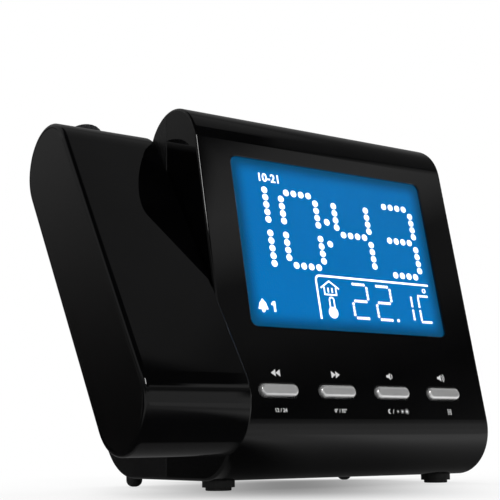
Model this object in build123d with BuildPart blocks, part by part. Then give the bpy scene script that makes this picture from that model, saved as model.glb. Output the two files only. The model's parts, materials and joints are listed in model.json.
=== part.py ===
from build123d import *
import os
from math import asin, atan2, cos, hypot, radians, sin, sqrt, tan

# A desk clock with a leaning display face and, on its left side, a projector arm
# that swings about the X axis and throws the time on a wall or the ceiling.
#
# Frame: X to the right as seen from the display side, Y to the back, Z up.
# The origin lies on the table, under the middle of the whole clock.
# All lengths are in millimetres and all angles in degrees.

os.makedirs("parts", exist_ok=True)

# ------------------------------------------------------------------ driving sizes

# body
overall_height = 134.8
body_width = 116.2
body_depth = 89.6
foot_height = 3.3            # table to underside
face_lean = 11.67            # display face, back from vertical
top_radius = 16.7            # rounding over the top
front_radius = 16.6          # rounding under the face
rear_radius = 25.0           # rounding at the lower back
wall = 2.2
side_edge = 0.9              # small round along the side rims
seam_offset = 3.4            # front shell ends this far behind the crest
seam_gap = 0.15
seam_edge = 0.3              # chamfer along both sides of the seam

# projector arm
arm_width = 37.9
arm_thickness = 33.0
arm_centres = 101.0          # between the centres of its two round ends
arm_lean = 33.35             # rest position, back from vertical
arm_gap = 0.4                # air between arm and body
arm_wall = 2.6
arm_rim = 1.65               # rim left around the end cap
cap_thickness = 1.65
cap_edge = 0.4
arm_rim_round = 1.5
arm_inner_round = 0.8
pivot_setback = 31.3         # hinge axis behind the body's foremost point
pivot_height = 70.1

# display
window_side = 13.7           # from the body's side to the display opening
window_foot = 31.85          # its lower edge, up the face from where the flat begins
window_head = 5.75           # its upper edge, down the face from where the flat ends
window_corner = 2.6
window_edge = 0.35           # chamfer around the display opening
pane_thickness = 0.9
lcd_thickness = 2.2
backlight_thickness = 4.0
backlight_border = 1.2
tray_wall = 1.6
tray_floor = 1.5
tray_tab = 8.0
tray_tab_inset = 14.4        # from the pane's sides
ribbon_slot_width = 40.0
ribbon_slot_height = 3.0
board_thickness = 1.6
board_margin = 3.0
# chips on the main board as (x, y, width, height, thickness), cans as (x, y, radius, length)
board_chips = [
    (-6.0, 6.0, 14.0, 14.0, 1.6),
    (20.0, 10.0, 10.0, 6.0, 1.5),
    (20.0, -10.0, 8.0, 5.0, 1.5),
    (-20.0, -16.0, 11.0, 4.0, 3.6),
]
board_cans = [(34.0, 14.0, 4.0, 9.0), (34.0, 2.0, 3.2, 8.0), (34.0, -10.0, 3.2, 8.0)]

# keys on the face
face_key_names = ["seek_back_key", "seek_forward_key", "volume_down_key", "volume_up_key"]
key_width = 15.5
key_height = 4.3
key_inset = 20.75            # middle of the outer keys, from the body's sides
key_rise = 9.6
key_proud = 1.2
key_edge = 1.0
key_travel = 0.6
slot_edge = 0.35             # chamfer around a key's slot
key_lip = 0.8                # flange that holds a key in its slot
key_flange = 1.0
key_stem_radius = 1.6
key_stem_length = 1.3

# keys behind the crest of the top
crown_angle = 38.0           # their normal, back from vertical
crown_key_inset = 15.1       # middle of the outer keys, from the body's sides
crown_key_pitch = 13.0       # from an outer key to the next one
crown_key_gap = 3.0          # from there to the snooze bar
crown_key_width = 10.0
crown_key_length = 8.5
crown_key_proud = 0.35
crown_key_edge = 0.3
snooze_switch_inset = 10.0   # from the ends of the snooze bar

# switches under the keys
switch_side = 6.0
switch_height = 2.8
plunger_radius = 1.7
plunger_height = 0.7
key_board_height = 11.0
key_board_inset = 8.0        # from the body's sides
crown_board_inset = 0.6      # from the inside of the side walls
crown_board_width = 9.0

# speaker and its grille
speaker_radius = 18.0
speaker_x = 24.0             # from the body's middle
speaker_y = 4.0              # up the back from the middle of its flat
speaker_rim = 2.5
speaker_flange = 1.8
cone_depth = 6.0
cone_thickness = 0.6
magnet_radius = 9.0
magnet_height = 6.5
grille_hole_radius = 1.1
grille_ring_step = 4.6
grille_rings = 3

# power inlet
jack_inset = 22.1            # from the body's side
jack_rise = 7.8              # up the back from where its flat begins
jack_width = 9.0
jack_height = 10.5
jack_length = 13.0
jack_barrel_radius = 3.9
jack_bore_radius = 2.9
jack_bore_depth = 9.5
jack_pin_radius = 1.0
jack_pin_length = 8.0
jack_recess = 0.3

# backup cell in the underside
cell_radius = 10.0
cell_height = 3.2
bay_x = -20.0                # from the body's middle
bay_setback = 57.0           # middle of the bay behind the foremost point
door_width = 24.0
door_length = 27.0
door_thickness = 2.0
door_lip = 1.2
door_lip_thickness = 0.9
door_grip_radius = 5.0
bay_wall = 1.4
bay_ceiling = 13.7           # underside of the bay's roof, above the table
cup_wall = 1.2
contact_thickness = 0.3
contact_width = 4.0

# feet
front_foot_radius = 5.5
front_foot_tread = 4.4
front_foot_tread_height = 1.1
front_foot_round = 0.35
front_foot_inset = 8.6       # from each side
front_foot_setback = 20.7
foot_recess = 0.8
rear_foot_radius = 3.0
rear_foot_round = 2.5
rear_foot_inset = 7.6
rear_foot_setback = 77.2

# screws
shell_screw_inset = 6.2      # from each side
shell_screw_rise = 14.7      # of the lower pair, above the table
shell_screw_drop = 34.1      # of the upper pair, under the top
shell_boss_radius = 3.2
shell_post_radius = 4.4
shell_screw_radius = 1.25
shell_screw_grip = 6.0       # rear post left under the head
shell_screw_bite = 10.0
shell_head_radius = 2.6
shell_head_height = 2.0
small_boss_radius = 2.4
small_screw_radius = 1.0
small_screw_bite = 4.0
small_head_radius = 2.1
small_head_height = 1.3

# arm hinge
spindle_radius = 5.5
spindle_bore = 3.2
spindle_flange_radius = 11.0
spindle_flange = 2.0
spindle_screw_circle = 8.4
spindle_screw_turns = (60, 180, 300)
bush_radius = 7.0
bush_flange_radius = 8.6
bush_flange = 1.2
hinge_boss_radius = 8.8
hinge_boss_length = 4.2
washer_thickness = 0.8
retainer_thickness = 2.5
retainer_radius = 8.4
retainer_edge = 0.2
spindle_tail = 0.8

# projector optics, measured down the arm from its tip
focus_ring_radius = 7.5
focus_ring_proud = 3.7
focus_ring_edge = 0.6
focus_seat_depth = 1.9
focus_grooves = 24
focus_groove_radius = 0.35
collar_radius = 9.6
collar_length = 8.0
barrel_radius = 6.3
barrel_wall = 1.1
barrel_length = 24.0
objective_wall = 0.9
objective_length = 10.0
focus_travel = 1.8
focus_margin = 0.4           # the cell's rim stays this far inside the ring's at full travel
objective_lens_rim = 1.6
objective_lens_dome = 1.3
housing_side = 20.0
housing_depth = 18.0
housing_length = 20.0
housing_top = 22.0
housing_socket = 4.0
housing_bore = 7.0
housing_stop = 2.0
slide_thickness = 1.1
spacer_length = 2.2
spacer_wall = 1.3
condenser_rim = 1.2
condenser_dome = 2.6
lamp_radius = 2.5
lamp_base = 3.4
lamp_base_height = 1.4
heat_sink_side = 15.0
heat_sink_base = 1.5
heat_sink_fin = 1.2
heat_sink_fin_height = 5.0
heat_sink_fins = 5
arm_screw_spread = 10.2
arm_screw_height = 12.0      # of the upper pair, up the arm from the hinge
arm_post_radius = 2.8

# clearances
fit = 0.05                   # turning and sliding fits, on the radius
running = 0.15               # between a moving piece and its stop
slot_clearance = 0.25        # around a key in its slot
push_clearance = 0.1         # around a piece that is laid in a pocket
overcut = 1.0                # a cut runs this far past a face
trim = 60.0                  # bosses start this long and are trimmed by the outside

# ------------------------------------------------------------------ derived places

lean = radians(face_lean)
arm_tilt = radians(arm_lean)
crown_tilt = radians(crown_angle)

arm_radius = arm_thickness / 2
arm_reach = arm_centres / 2 * sin(arm_tilt) + arm_radius - pivot_setback
overall_width = arm_width + arm_gap + body_width
overall_depth = body_depth + arm_reach

body_right = overall_width / 2
body_left = body_right - body_width
body_mid = (body_left + body_right) / 2
body_rear = overall_depth / 2
body_front = body_rear - body_depth

front_round_y = body_front + front_radius
front_round_z = foot_height + front_radius
rear_round_y = body_rear - rear_radius
rear_round_z = foot_height + rear_radius
top_round_z = overall_height - top_radius
top_round_y = (
    front_round_y
    + (top_round_z - front_round_z) * tan(lean)
    + (top_radius - front_radius) / cos(lean)
)
seam_y = top_round_y + seam_offset

back_run = rear_round_y - top_round_y
back_rise = top_round_z - rear_round_z
back_lean = atan2(back_run, back_rise) + asin((rear_radius - top_radius) / hypot(back_run, back_rise))

pivot_y = body_front + pivot_setback
arm_left = -overall_width / 2
arm_right = arm_left + arm_width
arm_mid = (arm_left + arm_right) / 2
arm_inside_right = arm_right - arm_wall


def set_in(plane, x, y, depth=0.0):
    """The same plane moved to (x, y) in it and set in by a depth."""
    return Plane(origin=plane.from_local_coords((x, y, -depth)), x_dir=plane.x_dir, z_dir=plane.z_dir)


def turning(seat):
    """A plane through a seat's axis: x away from the axis, y outwards along it."""
    return Plane(origin=seat.origin, x_dir=seat.x_dir, z_dir=-seat.y_dir)


# the display face: origin where its flat begins above the lower rounding
face = Plane(
    origin=(
        body_mid,
        front_round_y - front_radius * cos(lean),
        front_round_z + front_radius * sin(lean),
    ),
    x_dir=(1, 0, 0),
    z_dir=(0, -cos(lean), sin(lean)),
)
face_axis = Axis(face.origin, face.z_dir)
face_length = sqrt(
    (top_round_y - front_round_y) ** 2
    + (top_round_z - front_round_z) ** 2
    - (top_radius - front_radius) ** 2
)
window_width = body_width - 2 * window_side
window_height = face_length - window_foot - window_head
window = set_in(face, 0, window_foot + window_height / 2)
key_row = set_in(face, 0, key_rise)

# the crown: tangent to the top rounding, behind the crest
crown = Plane(
    origin=(
        body_mid,
        top_round_y + top_radius * sin(crown_tilt),
        top_round_z + top_radius * cos(crown_tilt),
    ),
    x_dir=(1, 0, 0),
    z_dir=(0, sin(crown_tilt), cos(crown_tilt)),
)

# the sloping back: origin in the middle of its flat, x to the right as seen from behind
back = Plane(
    origin=(
        body_mid,
        (top_round_y + rear_round_y + (top_radius + rear_radius) * cos(back_lean)) / 2,
        (top_round_z + rear_round_z + (top_radius + rear_radius) * sin(back_lean)) / 2,
    ),
    x_dir=(-1, 0, 0),
    z_dir=(0, cos(back_lean), sin(back_lean)),
)
back_length = sqrt(back_run**2 + back_rise**2 - (rear_radius - top_radius) ** 2)
speaker_seat = set_in(back, -speaker_x, speaker_y, wall)
jack_seat = set_in(back, jack_inset - body_width / 2, jack_rise - back_length / 2, wall)

# the arm's own line, from its hinge to its tip
arm_up = (0, sin(arm_tilt), cos(arm_tilt))
tip_reach = arm_centres / 2 + arm_radius
tip = Plane(
    origin=(arm_mid, pivot_y + tip_reach * sin(arm_tilt), pivot_height + tip_reach * cos(arm_tilt)),
    x_dir=(1, 0, 0),
    z_dir=arm_up,
)
tip_axis = Axis(tip.origin, tip.z_dir)


def arm_spot(up, forward=0.0):
    """A place in the arm's side view, up its line from the hinge and forward of it."""
    return (
        pivot_y + up * sin(arm_tilt) - forward * cos(arm_tilt),
        pivot_height + up * cos(arm_tilt) + forward * sin(arm_tilt),
    )


def write_piece(piece, label):
    """Label a finished piece and write it to its own file."""
    piece.part.label = label
    export_step(piece.part, f"parts/{label}.step")


# ------------------------------------------------------------------ shared outlines


def body_side(x, inset=0.0):
    """Side view of the body at a given x: the hull of its three rounds."""
    with BuildSketch(Plane.YZ.offset(x)) as side:
        with Locations((top_round_y, top_round_z)):
            Circle(top_radius - inset)
        with Locations((front_round_y, front_round_z)):
            Circle(front_radius - inset)
        with Locations((rear_round_y, rear_round_z)):
            Circle(rear_radius - inset)
        make_hull()
    return side.sketch


def arm_side(x, inset=0.0):
    """Side view of the arm at a given x: the hull of its two round ends."""
    with BuildSketch(Plane.YZ.offset(x)) as side:
        with Locations(arm_spot(-arm_centres / 2), arm_spot(arm_centres / 2)):
            Circle(arm_radius - inset)
        make_hull()
    return side.sketch


def discs(plane, radius, spots=((0, 0),)):
    """Round outlines on a plane, one at each spot."""
    with BuildSketch(plane) as outline:
        with Locations(*spots):
            Circle(radius)
    return outline.sketch


def washer(plane, outer, inner):
    """A flat ring on a plane."""
    with BuildSketch(plane) as outline:
        Circle(outer)
        Circle(inner, mode=Mode.SUBTRACT)
    return outline.sketch


def panel(plane, width, height, corner=0.0):
    """A rectangle on a plane, with round corners where it has them."""
    with BuildSketch(plane) as outline:
        if corner > 0:
            RectangleRounded(width, height, corner)
        else:
            Rectangle(width, height)
    return outline.sketch


# the closed outside of the body, which both shells are cut from
with BuildPart() as body_outside:
    extrude(body_side(body_left), amount=body_width)
    fillet(body_outside.faces().filter_by(Axis.X).edges(), side_edge)

with BuildPart() as body_walls:
    add(body_outside.part)
    extrude(body_side(body_left + wall, wall), amount=body_width - 2 * wall, mode=Mode.SUBTRACT)

# ------------------------------------------------------------------ fixing places

shell_screw_spots = [
    (body_mid + side * (body_width / 2 - shell_screw_inset), height)
    for height in (shell_screw_rise, overall_height - shell_screw_drop)
    for side in (-1, 1)
]

backlight_width = window_width + 2 * backlight_border
backlight_height = window_height + 2 * backlight_border
tray_width = backlight_width + 2 * (push_clearance + tray_wall)
tray_height = backlight_height + 2 * (push_clearance + tray_wall)
backlight_front = pane_thickness + lcd_thickness
tray_back = backlight_front + backlight_thickness + tray_floor
tray_tab_front = tray_back - tray_floor - tray_wall
tray_tab_rise = tray_height / 2 + tray_tab / 2 - overcut
tray_spots = [
    (side * (window_width / 2 - tray_tab_inset), end * tray_tab_rise)
    for side in (-1, 1)
    for end in (-1, 1)
]

key_flange_front = wall + running
key_stem_tip = key_flange_front + key_flange + key_stem_length
switch_top = key_stem_tip + key_travel + fit
key_board_front = switch_top + plunger_height + switch_height
key_count = len(face_key_names)
key_pitch = (body_width - 2 * key_inset) / (key_count - 1)
key_columns = [(step - (key_count - 1) / 2) * key_pitch for step in range(key_count)]
key_board_spots = [(step * key_pitch, 0) for step in (-1, 0, 1)]
key_board_width = body_width - 2 * key_board_inset

crown_outer = body_width / 2 - crown_key_inset
crown_inner = crown_outer - crown_key_pitch
snooze_width = 2 * (crown_inner - crown_key_width / 2 - crown_key_gap)
snooze_switch_columns = [side * (snooze_width / 2 - snooze_switch_inset) for side in (-1, 1)]
# name, middle across the body, width
crown_keys = [
    ("time_key", -crown_outer, crown_key_width),
    ("alarm_one_key", -crown_inner, crown_key_width),
    ("snooze_bar", 0.0, snooze_width),
    ("alarm_two_key", crown_inner, crown_key_width),
    ("radio_key", crown_outer, crown_key_width),
]
crown_inside = top_radius - wall
crown_half = crown_key_length / 2 + key_lip
crown_sag = crown_inside - sqrt(crown_inside**2 - crown_half**2)
crown_flange_front = wall + crown_sag + running
crown_stem_tip = crown_flange_front + key_flange + key_stem_length
crown_switch_top = crown_stem_tip + key_travel + fit
crown_board_front = crown_switch_top + plunger_height + switch_height
crown_board_length = body_width - 2 * (wall + crown_board_inset)
crown_board_spots = [(side * (crown_board_length / 2 - small_boss_radius), 0) for side in (-1, 1)]

# ------------------------------------------------------------------ front shell

with BuildPart() as front_shell:
    # bosses for the shell screws, the display tray, the key board and the hinge
    extrude(discs(Plane.XZ.offset(-seam_y), shell_boss_radius, shell_screw_spots), amount=trim)
    extrude(discs(window.offset(-tray_tab_front), small_boss_radius + fit, tray_spots), amount=trim)
    extrude(discs(key_row.offset(-key_board_front), small_boss_radius, key_board_spots), amount=trim)
    hinge_boss_plane = Plane.YZ.offset(body_left + hinge_boss_length)
    extrude(discs(hinge_boss_plane, hinge_boss_radius, [(pivot_y, pivot_height)]), amount=-trim)
    add(body_outside.part, mode=Mode.INTERSECT)
    add(body_walls.part)
    split(bisect_by=Plane.XZ.offset(-seam_y), keep=Keep.TOP)
    chamfer(front_shell.faces().filter_by(Axis.Y).sort_by(Axis.Y)[-1].outer_wire().edges(), seam_edge)

    # display opening and key slots
    opening_width = window_width + 2 * push_clearance
    opening_height = window_height + 2 * push_clearance
    opening_corner = window_corner + push_clearance
    extrude(
        panel(window.offset(overcut), opening_width, opening_height, opening_corner),
        amount=-(wall + 2 * overcut),
        mode=Mode.SUBTRACT,
    )
    chamfer(front_shell.edges(Select.LAST).group_by(face_axis)[-1], window_edge)
    with BuildSketch(key_row.offset(key_proud)):
        with Locations(*[(column, 0) for column in key_columns]):
            SlotOverall(key_width + 2 * slot_clearance, key_height + 2 * slot_clearance)
    extrude(amount=-(key_proud + wall + overcut), mode=Mode.SUBTRACT)
    chamfer(front_shell.edges(Select.LAST).group_by(face_axis)[-1], slot_edge)

    # pilot holes
    extrude(
        discs(Plane.XZ.offset(-seam_y), shell_screw_radius, shell_screw_spots),
        amount=shell_screw_bite + overcut,
        mode=Mode.SUBTRACT,
    )
    extrude(
        discs(window.offset(-tray_tab_front), small_screw_radius, tray_spots),
        amount=tray_tab_front - wall,
        mode=Mode.SUBTRACT,
    )
    extrude(
        discs(key_row.offset(-key_board_front), small_screw_radius, key_board_spots),
        amount=small_screw_bite + overcut,
        mode=Mode.SUBTRACT,
    )

    # bore for the hinge bush, and seats for the front feet
    extrude(
        discs(hinge_boss_plane, bush_radius, [(pivot_y, pivot_height)]),
        amount=-(hinge_boss_length + overcut),
        mode=Mode.SUBTRACT,
    )
    front_foot_spots = [
        (body_mid + side * (body_width / 2 - front_foot_inset), body_front + front_foot_setback)
        for side in (-1, 1)
    ]
    extrude(
        discs(Plane.XY.offset(foot_height + foot_recess), front_foot_radius, front_foot_spots),
        amount=-(foot_recess + overcut),
        mode=Mode.SUBTRACT,
    )
write_piece(front_shell, "front_shell")

# ------------------------------------------------------------------ rear shell

bay_mid_x = body_mid + bay_x
bay_mid_y = body_front + bay_setback
door_front = bay_mid_y - door_length / 2
lip_width = door_width + 2 * door_lip
lip_bottom = foot_height + door_thickness - door_lip_thickness
bay_inside_width = lip_width + 2 * slot_clearance
bay_floor = foot_height + wall
cup = Plane(origin=(bay_mid_x, bay_mid_y, bay_ceiling))
cell_bottom = foot_height + door_thickness + 2 * running
cup_mouth = cell_bottom + running

with BuildPart() as rear_shell:
    # posts for the shell screws, bosses under the crown, and the cell bay's box
    extrude(discs(Plane.XZ.offset(-seam_y), shell_post_radius, shell_screw_spots), amount=-trim)
    extrude(discs(crown.offset(-crown_board_front), small_boss_radius, crown_board_spots), amount=trim)
    with BuildSketch(Plane.XY.offset(bay_ceiling + bay_wall)):
        with Locations((bay_mid_x, bay_mid_y)):
            Rectangle(bay_inside_width + 2 * bay_wall, door_length + 2 * bay_wall)
    extrude(amount=-trim)
    with BuildSketch(Plane.XY.offset(bay_ceiling)):
        with Locations((bay_mid_x, bay_mid_y)):
            Rectangle(bay_inside_width, door_length)
    extrude(amount=-trim, mode=Mode.SUBTRACT)
    add(body_outside.part, mode=Mode.INTERSECT)
    add(body_walls.part)
    split(bisect_by=Plane.XZ.offset(-seam_y - seam_gap), keep=Keep.BOTTOM)
    chamfer(rear_shell.faces().filter_by(Axis.Y).sort_by(Axis.Y)[0].outer_wire().edges(), seam_edge)

    # the door's way through the floor: a slot with a ledge each side for its lips
    door_run = body_rear - door_front
    with BuildSketch(Plane.XY.offset(bay_floor + overcut)):
        with Locations((bay_mid_x, door_front - slot_clearance + door_run / 2)):
            Rectangle(door_width + 2 * slot_clearance, door_run)
    extrude(amount=-(wall + 2 * overcut), mode=Mode.SUBTRACT)
    with BuildSketch(Plane.XY.offset(lip_bottom - running)):
        with Locations((bay_mid_x, door_front - slot_clearance + door_run / 2)):
            Rectangle(bay_inside_width, door_run)
    extrude(amount=foot_height + door_thickness + running - lip_bottom + running, mode=Mode.SUBTRACT)
    # round cup that holds the cell
    extrude(washer(cup, cell_radius + push_clearance + cup_wall, cell_radius + push_clearance),
            amount=-(bay_ceiling - cup_mouth))

    # key slots behind the crest
    with BuildSketch(crown.offset(overcut)):
        for name, middle, width in crown_keys:
            with Locations((middle, 0)):
                Rectangle(width + 2 * slot_clearance, crown_key_length + 2 * slot_clearance)
    extrude(amount=-(overcut + crown_flange_front), mode=Mode.SUBTRACT)
    extrude(
        discs(crown.offset(-crown_board_front), small_screw_radius, crown_board_spots),
        amount=small_screw_bite + overcut,
        mode=Mode.SUBTRACT,
    )

    # screw holes with wells for the heads
    shell_screw_head = Plane.XZ.offset(-seam_y - shell_screw_grip)
    extrude(
        discs(Plane.XZ.offset(-seam_y), shell_screw_radius + slot_clearance, shell_screw_spots),
        amount=-trim,
        mode=Mode.SUBTRACT,
    )
    extrude(
        discs(shell_screw_head, shell_head_radius + slot_clearance, shell_screw_spots),
        amount=-body_depth,
        mode=Mode.SUBTRACT,
    )

    # speaker grille and power inlet
    grille = speaker_seat.offset(wall + overcut)
    with BuildSketch(grille):
        Circle(grille_hole_radius)
        for ring in range(1, grille_rings + 1):
            with PolarLocations(ring * grille_ring_step, 6 * ring):
                Circle(grille_hole_radius)
    extrude(amount=-(wall + 2 * overcut), mode=Mode.SUBTRACT)
    extrude(
        discs(jack_seat, jack_barrel_radius + push_clearance),
        amount=wall + overcut,
        mode=Mode.SUBTRACT,
    )
write_piece(rear_shell, "rear_shell")

with BuildPart() as shell_screws:
    extrude(discs(shell_screw_head, shell_head_radius, shell_screw_spots), amount=-shell_head_height)
    extrude(
        discs(shell_screw_head, shell_screw_radius, shell_screw_spots),
        amount=shell_screw_grip + shell_screw_bite,
    )
write_piece(shell_screws, "shell_screws")


def small_screws(piece_plane, spots, grip):
    """Small screws with their heads on a plane, through a grip and on into a boss."""
    with BuildPart() as screws:
        extrude(discs(piece_plane, small_head_radius, spots), amount=-small_head_height)
        extrude(discs(piece_plane, small_screw_radius, spots), amount=grip + small_screw_bite)
    return screws


# ------------------------------------------------------------------ display

with BuildPart() as lcd_window:
    extrude(panel(window, window_width, window_height, window_corner), amount=-pane_thickness)
write_piece(lcd_window, "lcd_window")

with BuildPart() as lcd_panel:
    extrude(
        panel(window.offset(-pane_thickness), window_width, window_height, window_corner),
        amount=-lcd_thickness,
    )
write_piece(lcd_panel, "lcd_panel")

with BuildPart() as backlight_plate:
    extrude(
        panel(window.offset(-backlight_front), backlight_width, backlight_height),
        amount=-backlight_thickness,
    )
write_piece(backlight_plate, "backlight_plate")

with BuildPart() as lcd_tray:
    extrude(panel(window.offset(-wall), tray_width, tray_height), amount=-(tray_back - wall))
    with BuildSketch(window.offset(-tray_tab_front)):
        with Locations(*tray_spots):
            Rectangle(tray_tab, tray_tab)
    extrude(amount=-(tray_back - tray_tab_front))
    extrude(
        panel(
            window.offset(-wall),
            backlight_width + 2 * push_clearance,
            backlight_height + 2 * push_clearance,
        ),
        amount=-(tray_back - tray_floor - wall),
        mode=Mode.SUBTRACT,
    )
    extrude(
        discs(window.offset(-tray_back), small_screw_radius + push_clearance, tray_spots),
        amount=tray_back,
        mode=Mode.SUBTRACT,
    )
    ribbon_slot = set_in(window, 0, -tray_height / 2 + tray_wall + ribbon_slot_height, tray_back)
    extrude(
        panel(ribbon_slot, ribbon_slot_width, ribbon_slot_height),
        amount=tray_floor,
        mode=Mode.SUBTRACT,
    )
write_piece(lcd_tray, "lcd_tray")

tray_grip = tray_back - tray_tab_front
tray_screws = small_screws(window.offset(-tray_back), tray_spots, tray_grip - small_screw_bite / 2)
write_piece(tray_screws, "tray_screws")

# ------------------------------------------------------------------ main board

main_board_width = tray_width - 2 * board_margin
main_board_height = tray_height - 2 * board_margin - ribbon_slot_height - tray_wall
board_face = set_in(window, 0, (ribbon_slot_height + tray_wall) / 2, tray_back)
board_back = tray_back + board_thickness
with BuildPart() as main_board:
    extrude(panel(board_face, main_board_width, main_board_height), amount=-board_thickness)
write_piece(main_board, "main_board")

board_rear = board_face.offset(-board_thickness)
with BuildPart() as board_parts:
    for x, y, width, height, thickness in board_chips:
        extrude(panel(set_in(board_rear, x, y), width, height), amount=-thickness)
    for x, y, radius, length in board_cans:
        extrude(discs(board_rear, radius, [(x, y)]), amount=-length)
write_piece(board_parts, "board_parts")

# ------------------------------------------------------------------ keys on the face

for name, column in zip(face_key_names, key_columns):
    key_place = set_in(key_row, column, 0)
    with BuildPart() as face_key:
        with BuildSketch(key_place.offset(key_proud)):
            SlotOverall(key_width, key_height)
        extrude(amount=-(key_proud + key_flange_front))
        crest = face_key.faces().sort_by(Axis(key_place.origin, key_place.z_dir))[-1]
        fillet(crest.edges(), key_edge)
        with BuildSketch(key_place.offset(-key_flange_front)):
            SlotOverall(key_width + 2 * key_lip, key_height + 2 * key_lip)
        extrude(amount=-key_flange)
        extrude(
            discs(key_place.offset(-key_flange_front - key_flange), key_stem_radius),
            amount=-(key_stem_tip - key_flange_front - key_flange),
        )
    write_piece(face_key, name)


def switch_row(board_plane, columns):
    """Tact switches that stand on a board, one at each column."""
    spots = [(column, 0) for column in columns]
    with BuildPart() as switches:
        with BuildSketch(board_plane):
            with Locations(*spots):
                Rectangle(switch_side, switch_side)
        extrude(amount=switch_height)
        extrude(discs(board_plane.offset(switch_height), plunger_radius, spots), amount=plunger_height)
    return switches


key_board_plane = key_row.offset(-key_board_front)
with BuildPart() as key_board:
    extrude(panel(key_board_plane, key_board_width, key_board_height), amount=-board_thickness)
    extrude(
        discs(key_board_plane, small_screw_radius + push_clearance, key_board_spots),
        amount=-board_thickness,
        mode=Mode.SUBTRACT,
    )
write_piece(key_board, "key_board")
write_piece(switch_row(key_board_plane, key_columns), "key_switches")
key_board_screws = small_screws(
    key_board_plane.offset(-board_thickness), key_board_spots, board_thickness
)
write_piece(key_board_screws, "key_board_screws")

# ------------------------------------------------------------------ keys behind the crest

for name, middle, width in crown_keys:
    key_place = set_in(crown, middle, 0)
    with BuildPart() as crown_key:
        extrude(
            panel(key_place.offset(-crown_flange_front), width, crown_key_length),
            amount=crown_flange_front + 2 * overcut,
        )
        with BuildSketch(Plane.YZ.offset(body_left)):
            with Locations((top_round_y, top_round_z)):
                Circle(top_radius + crown_key_proud)
        extrude(amount=body_width, mode=Mode.INTERSECT)
        crest = crown_key.faces().sort_by(Axis(key_place.origin, key_place.z_dir))[-1]
        chamfer(crest.edges(), crown_key_edge)
        extrude(
            panel(
                key_place.offset(-crown_flange_front),
                width + 2 * key_lip,
                crown_key_length + 2 * key_lip,
            ),
            amount=-key_flange,
        )
        stem_spots = [(column, 0) for column in snooze_switch_columns] if name == "snooze_bar" else [(0, 0)]
        extrude(
            discs(key_place.offset(-crown_flange_front - key_flange), key_stem_radius, stem_spots),
            amount=-(crown_stem_tip - crown_flange_front - key_flange),
        )
    write_piece(crown_key, name)

crown_board_plane = crown.offset(-crown_board_front)
with BuildPart() as crown_board:
    extrude(panel(crown_board_plane, crown_board_length, crown_board_width), amount=-board_thickness)
    extrude(
        discs(crown_board_plane, small_screw_radius + push_clearance, crown_board_spots),
        amount=-board_thickness,
        mode=Mode.SUBTRACT,
    )
write_piece(crown_board, "crown_board")
crown_columns = [middle for name, middle, width in crown_keys if name != "snooze_bar"]
crown_columns += snooze_switch_columns
write_piece(switch_row(crown_board_plane, crown_columns), "crown_switches")
crown_board_screws = small_screws(
    crown_board_plane.offset(-board_thickness), crown_board_spots, board_thickness
)
write_piece(crown_board_screws, "crown_board_screws")

# ------------------------------------------------------------------ speaker and inlet

speaker_axis = Axis(speaker_seat.origin, speaker_seat.z_dir)
cone_outer = speaker_radius - speaker_rim
cone_inner = magnet_radius / 2
basket_depth = speaker_flange + cone_depth
with BuildPart() as speaker_frame:
    with BuildSketch(turning(speaker_seat)):
        with BuildLine():
            Polyline(
                (cone_outer, 0),
                (speaker_radius, 0),
                (speaker_radius, -speaker_flange),
                (magnet_radius, -basket_depth - cone_thickness),
                (cone_inner, -basket_depth - cone_thickness),
                (cone_inner, -basket_depth),
                (cone_inner + cone_thickness, -basket_depth),
                (cone_outer, -speaker_flange),
                close=True,
            )
        make_face()
    revolve(axis=speaker_axis)
write_piece(speaker_frame, "speaker_frame")

with BuildPart() as speaker_cone:
    with BuildSketch(turning(speaker_seat)):
        with BuildLine():
            Polyline(
                (0, -basket_depth + 2 * cone_thickness),
                (cone_inner, -basket_depth + 2 * cone_thickness),
                (cone_outer, -speaker_flange + cone_thickness),
                (cone_outer, -speaker_flange),
                (cone_inner + cone_thickness, -basket_depth),
                (0, -basket_depth),
                close=True,
            )
        make_face()
    revolve(axis=speaker_axis)
write_piece(speaker_cone, "speaker_cone")

with BuildPart() as speaker_magnet:
    magnet_plane = speaker_seat.offset(-basket_depth - cone_thickness)
    extrude(discs(magnet_plane, magnet_radius), amount=-magnet_height)
    fillet(speaker_magnet.faces().sort_by(speaker_axis)[0].edges(), cone_thickness)
write_piece(speaker_magnet, "speaker_magnet")

with BuildPart() as dc_jack:
    extrude(panel(jack_seat, jack_width, jack_height), amount=-jack_length)
    extrude(discs(jack_seat, jack_barrel_radius), amount=wall - jack_recess)
    jack_mouth = jack_seat.offset(wall - jack_recess)
    extrude(discs(jack_mouth, jack_bore_radius), amount=-jack_bore_depth, mode=Mode.SUBTRACT)
    extrude(discs(jack_mouth.offset(-jack_bore_depth), jack_pin_radius), amount=jack_pin_length)
write_piece(dc_jack, "dc_jack")

# ------------------------------------------------------------------ backup cell

door_place = Plane(origin=(bay_mid_x, bay_mid_y, foot_height))
with BuildPart() as battery_door:
    extrude(panel(door_place, door_width, door_length), amount=door_thickness)
    extrude(
        panel(
            Plane(origin=(bay_mid_x, bay_mid_y, lip_bottom)),
            lip_width,
            door_length,
        ),
        amount=door_lip_thickness,
    )
    add(body_outside.part, mode=Mode.INTERSECT)
    # thumb grip sunk into the underside
    with BuildSketch(door_place.offset(-overcut)):
        with Locations((0, -door_length / 4)):
            SlotOverall(2 * door_grip_radius, door_grip_radius)
    extrude(amount=overcut + door_thickness - door_lip_thickness, mode=Mode.SUBTRACT)
write_piece(battery_door, "battery_door")

with BuildPart() as backup_cell:
    extrude(discs(Plane(origin=(bay_mid_x, bay_mid_y, cell_bottom)), cell_radius), amount=cell_height)
    fillet(backup_cell.edges().filter_by(GeomType.CIRCLE), contact_thickness)
write_piece(backup_cell, "backup_cell")

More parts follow.
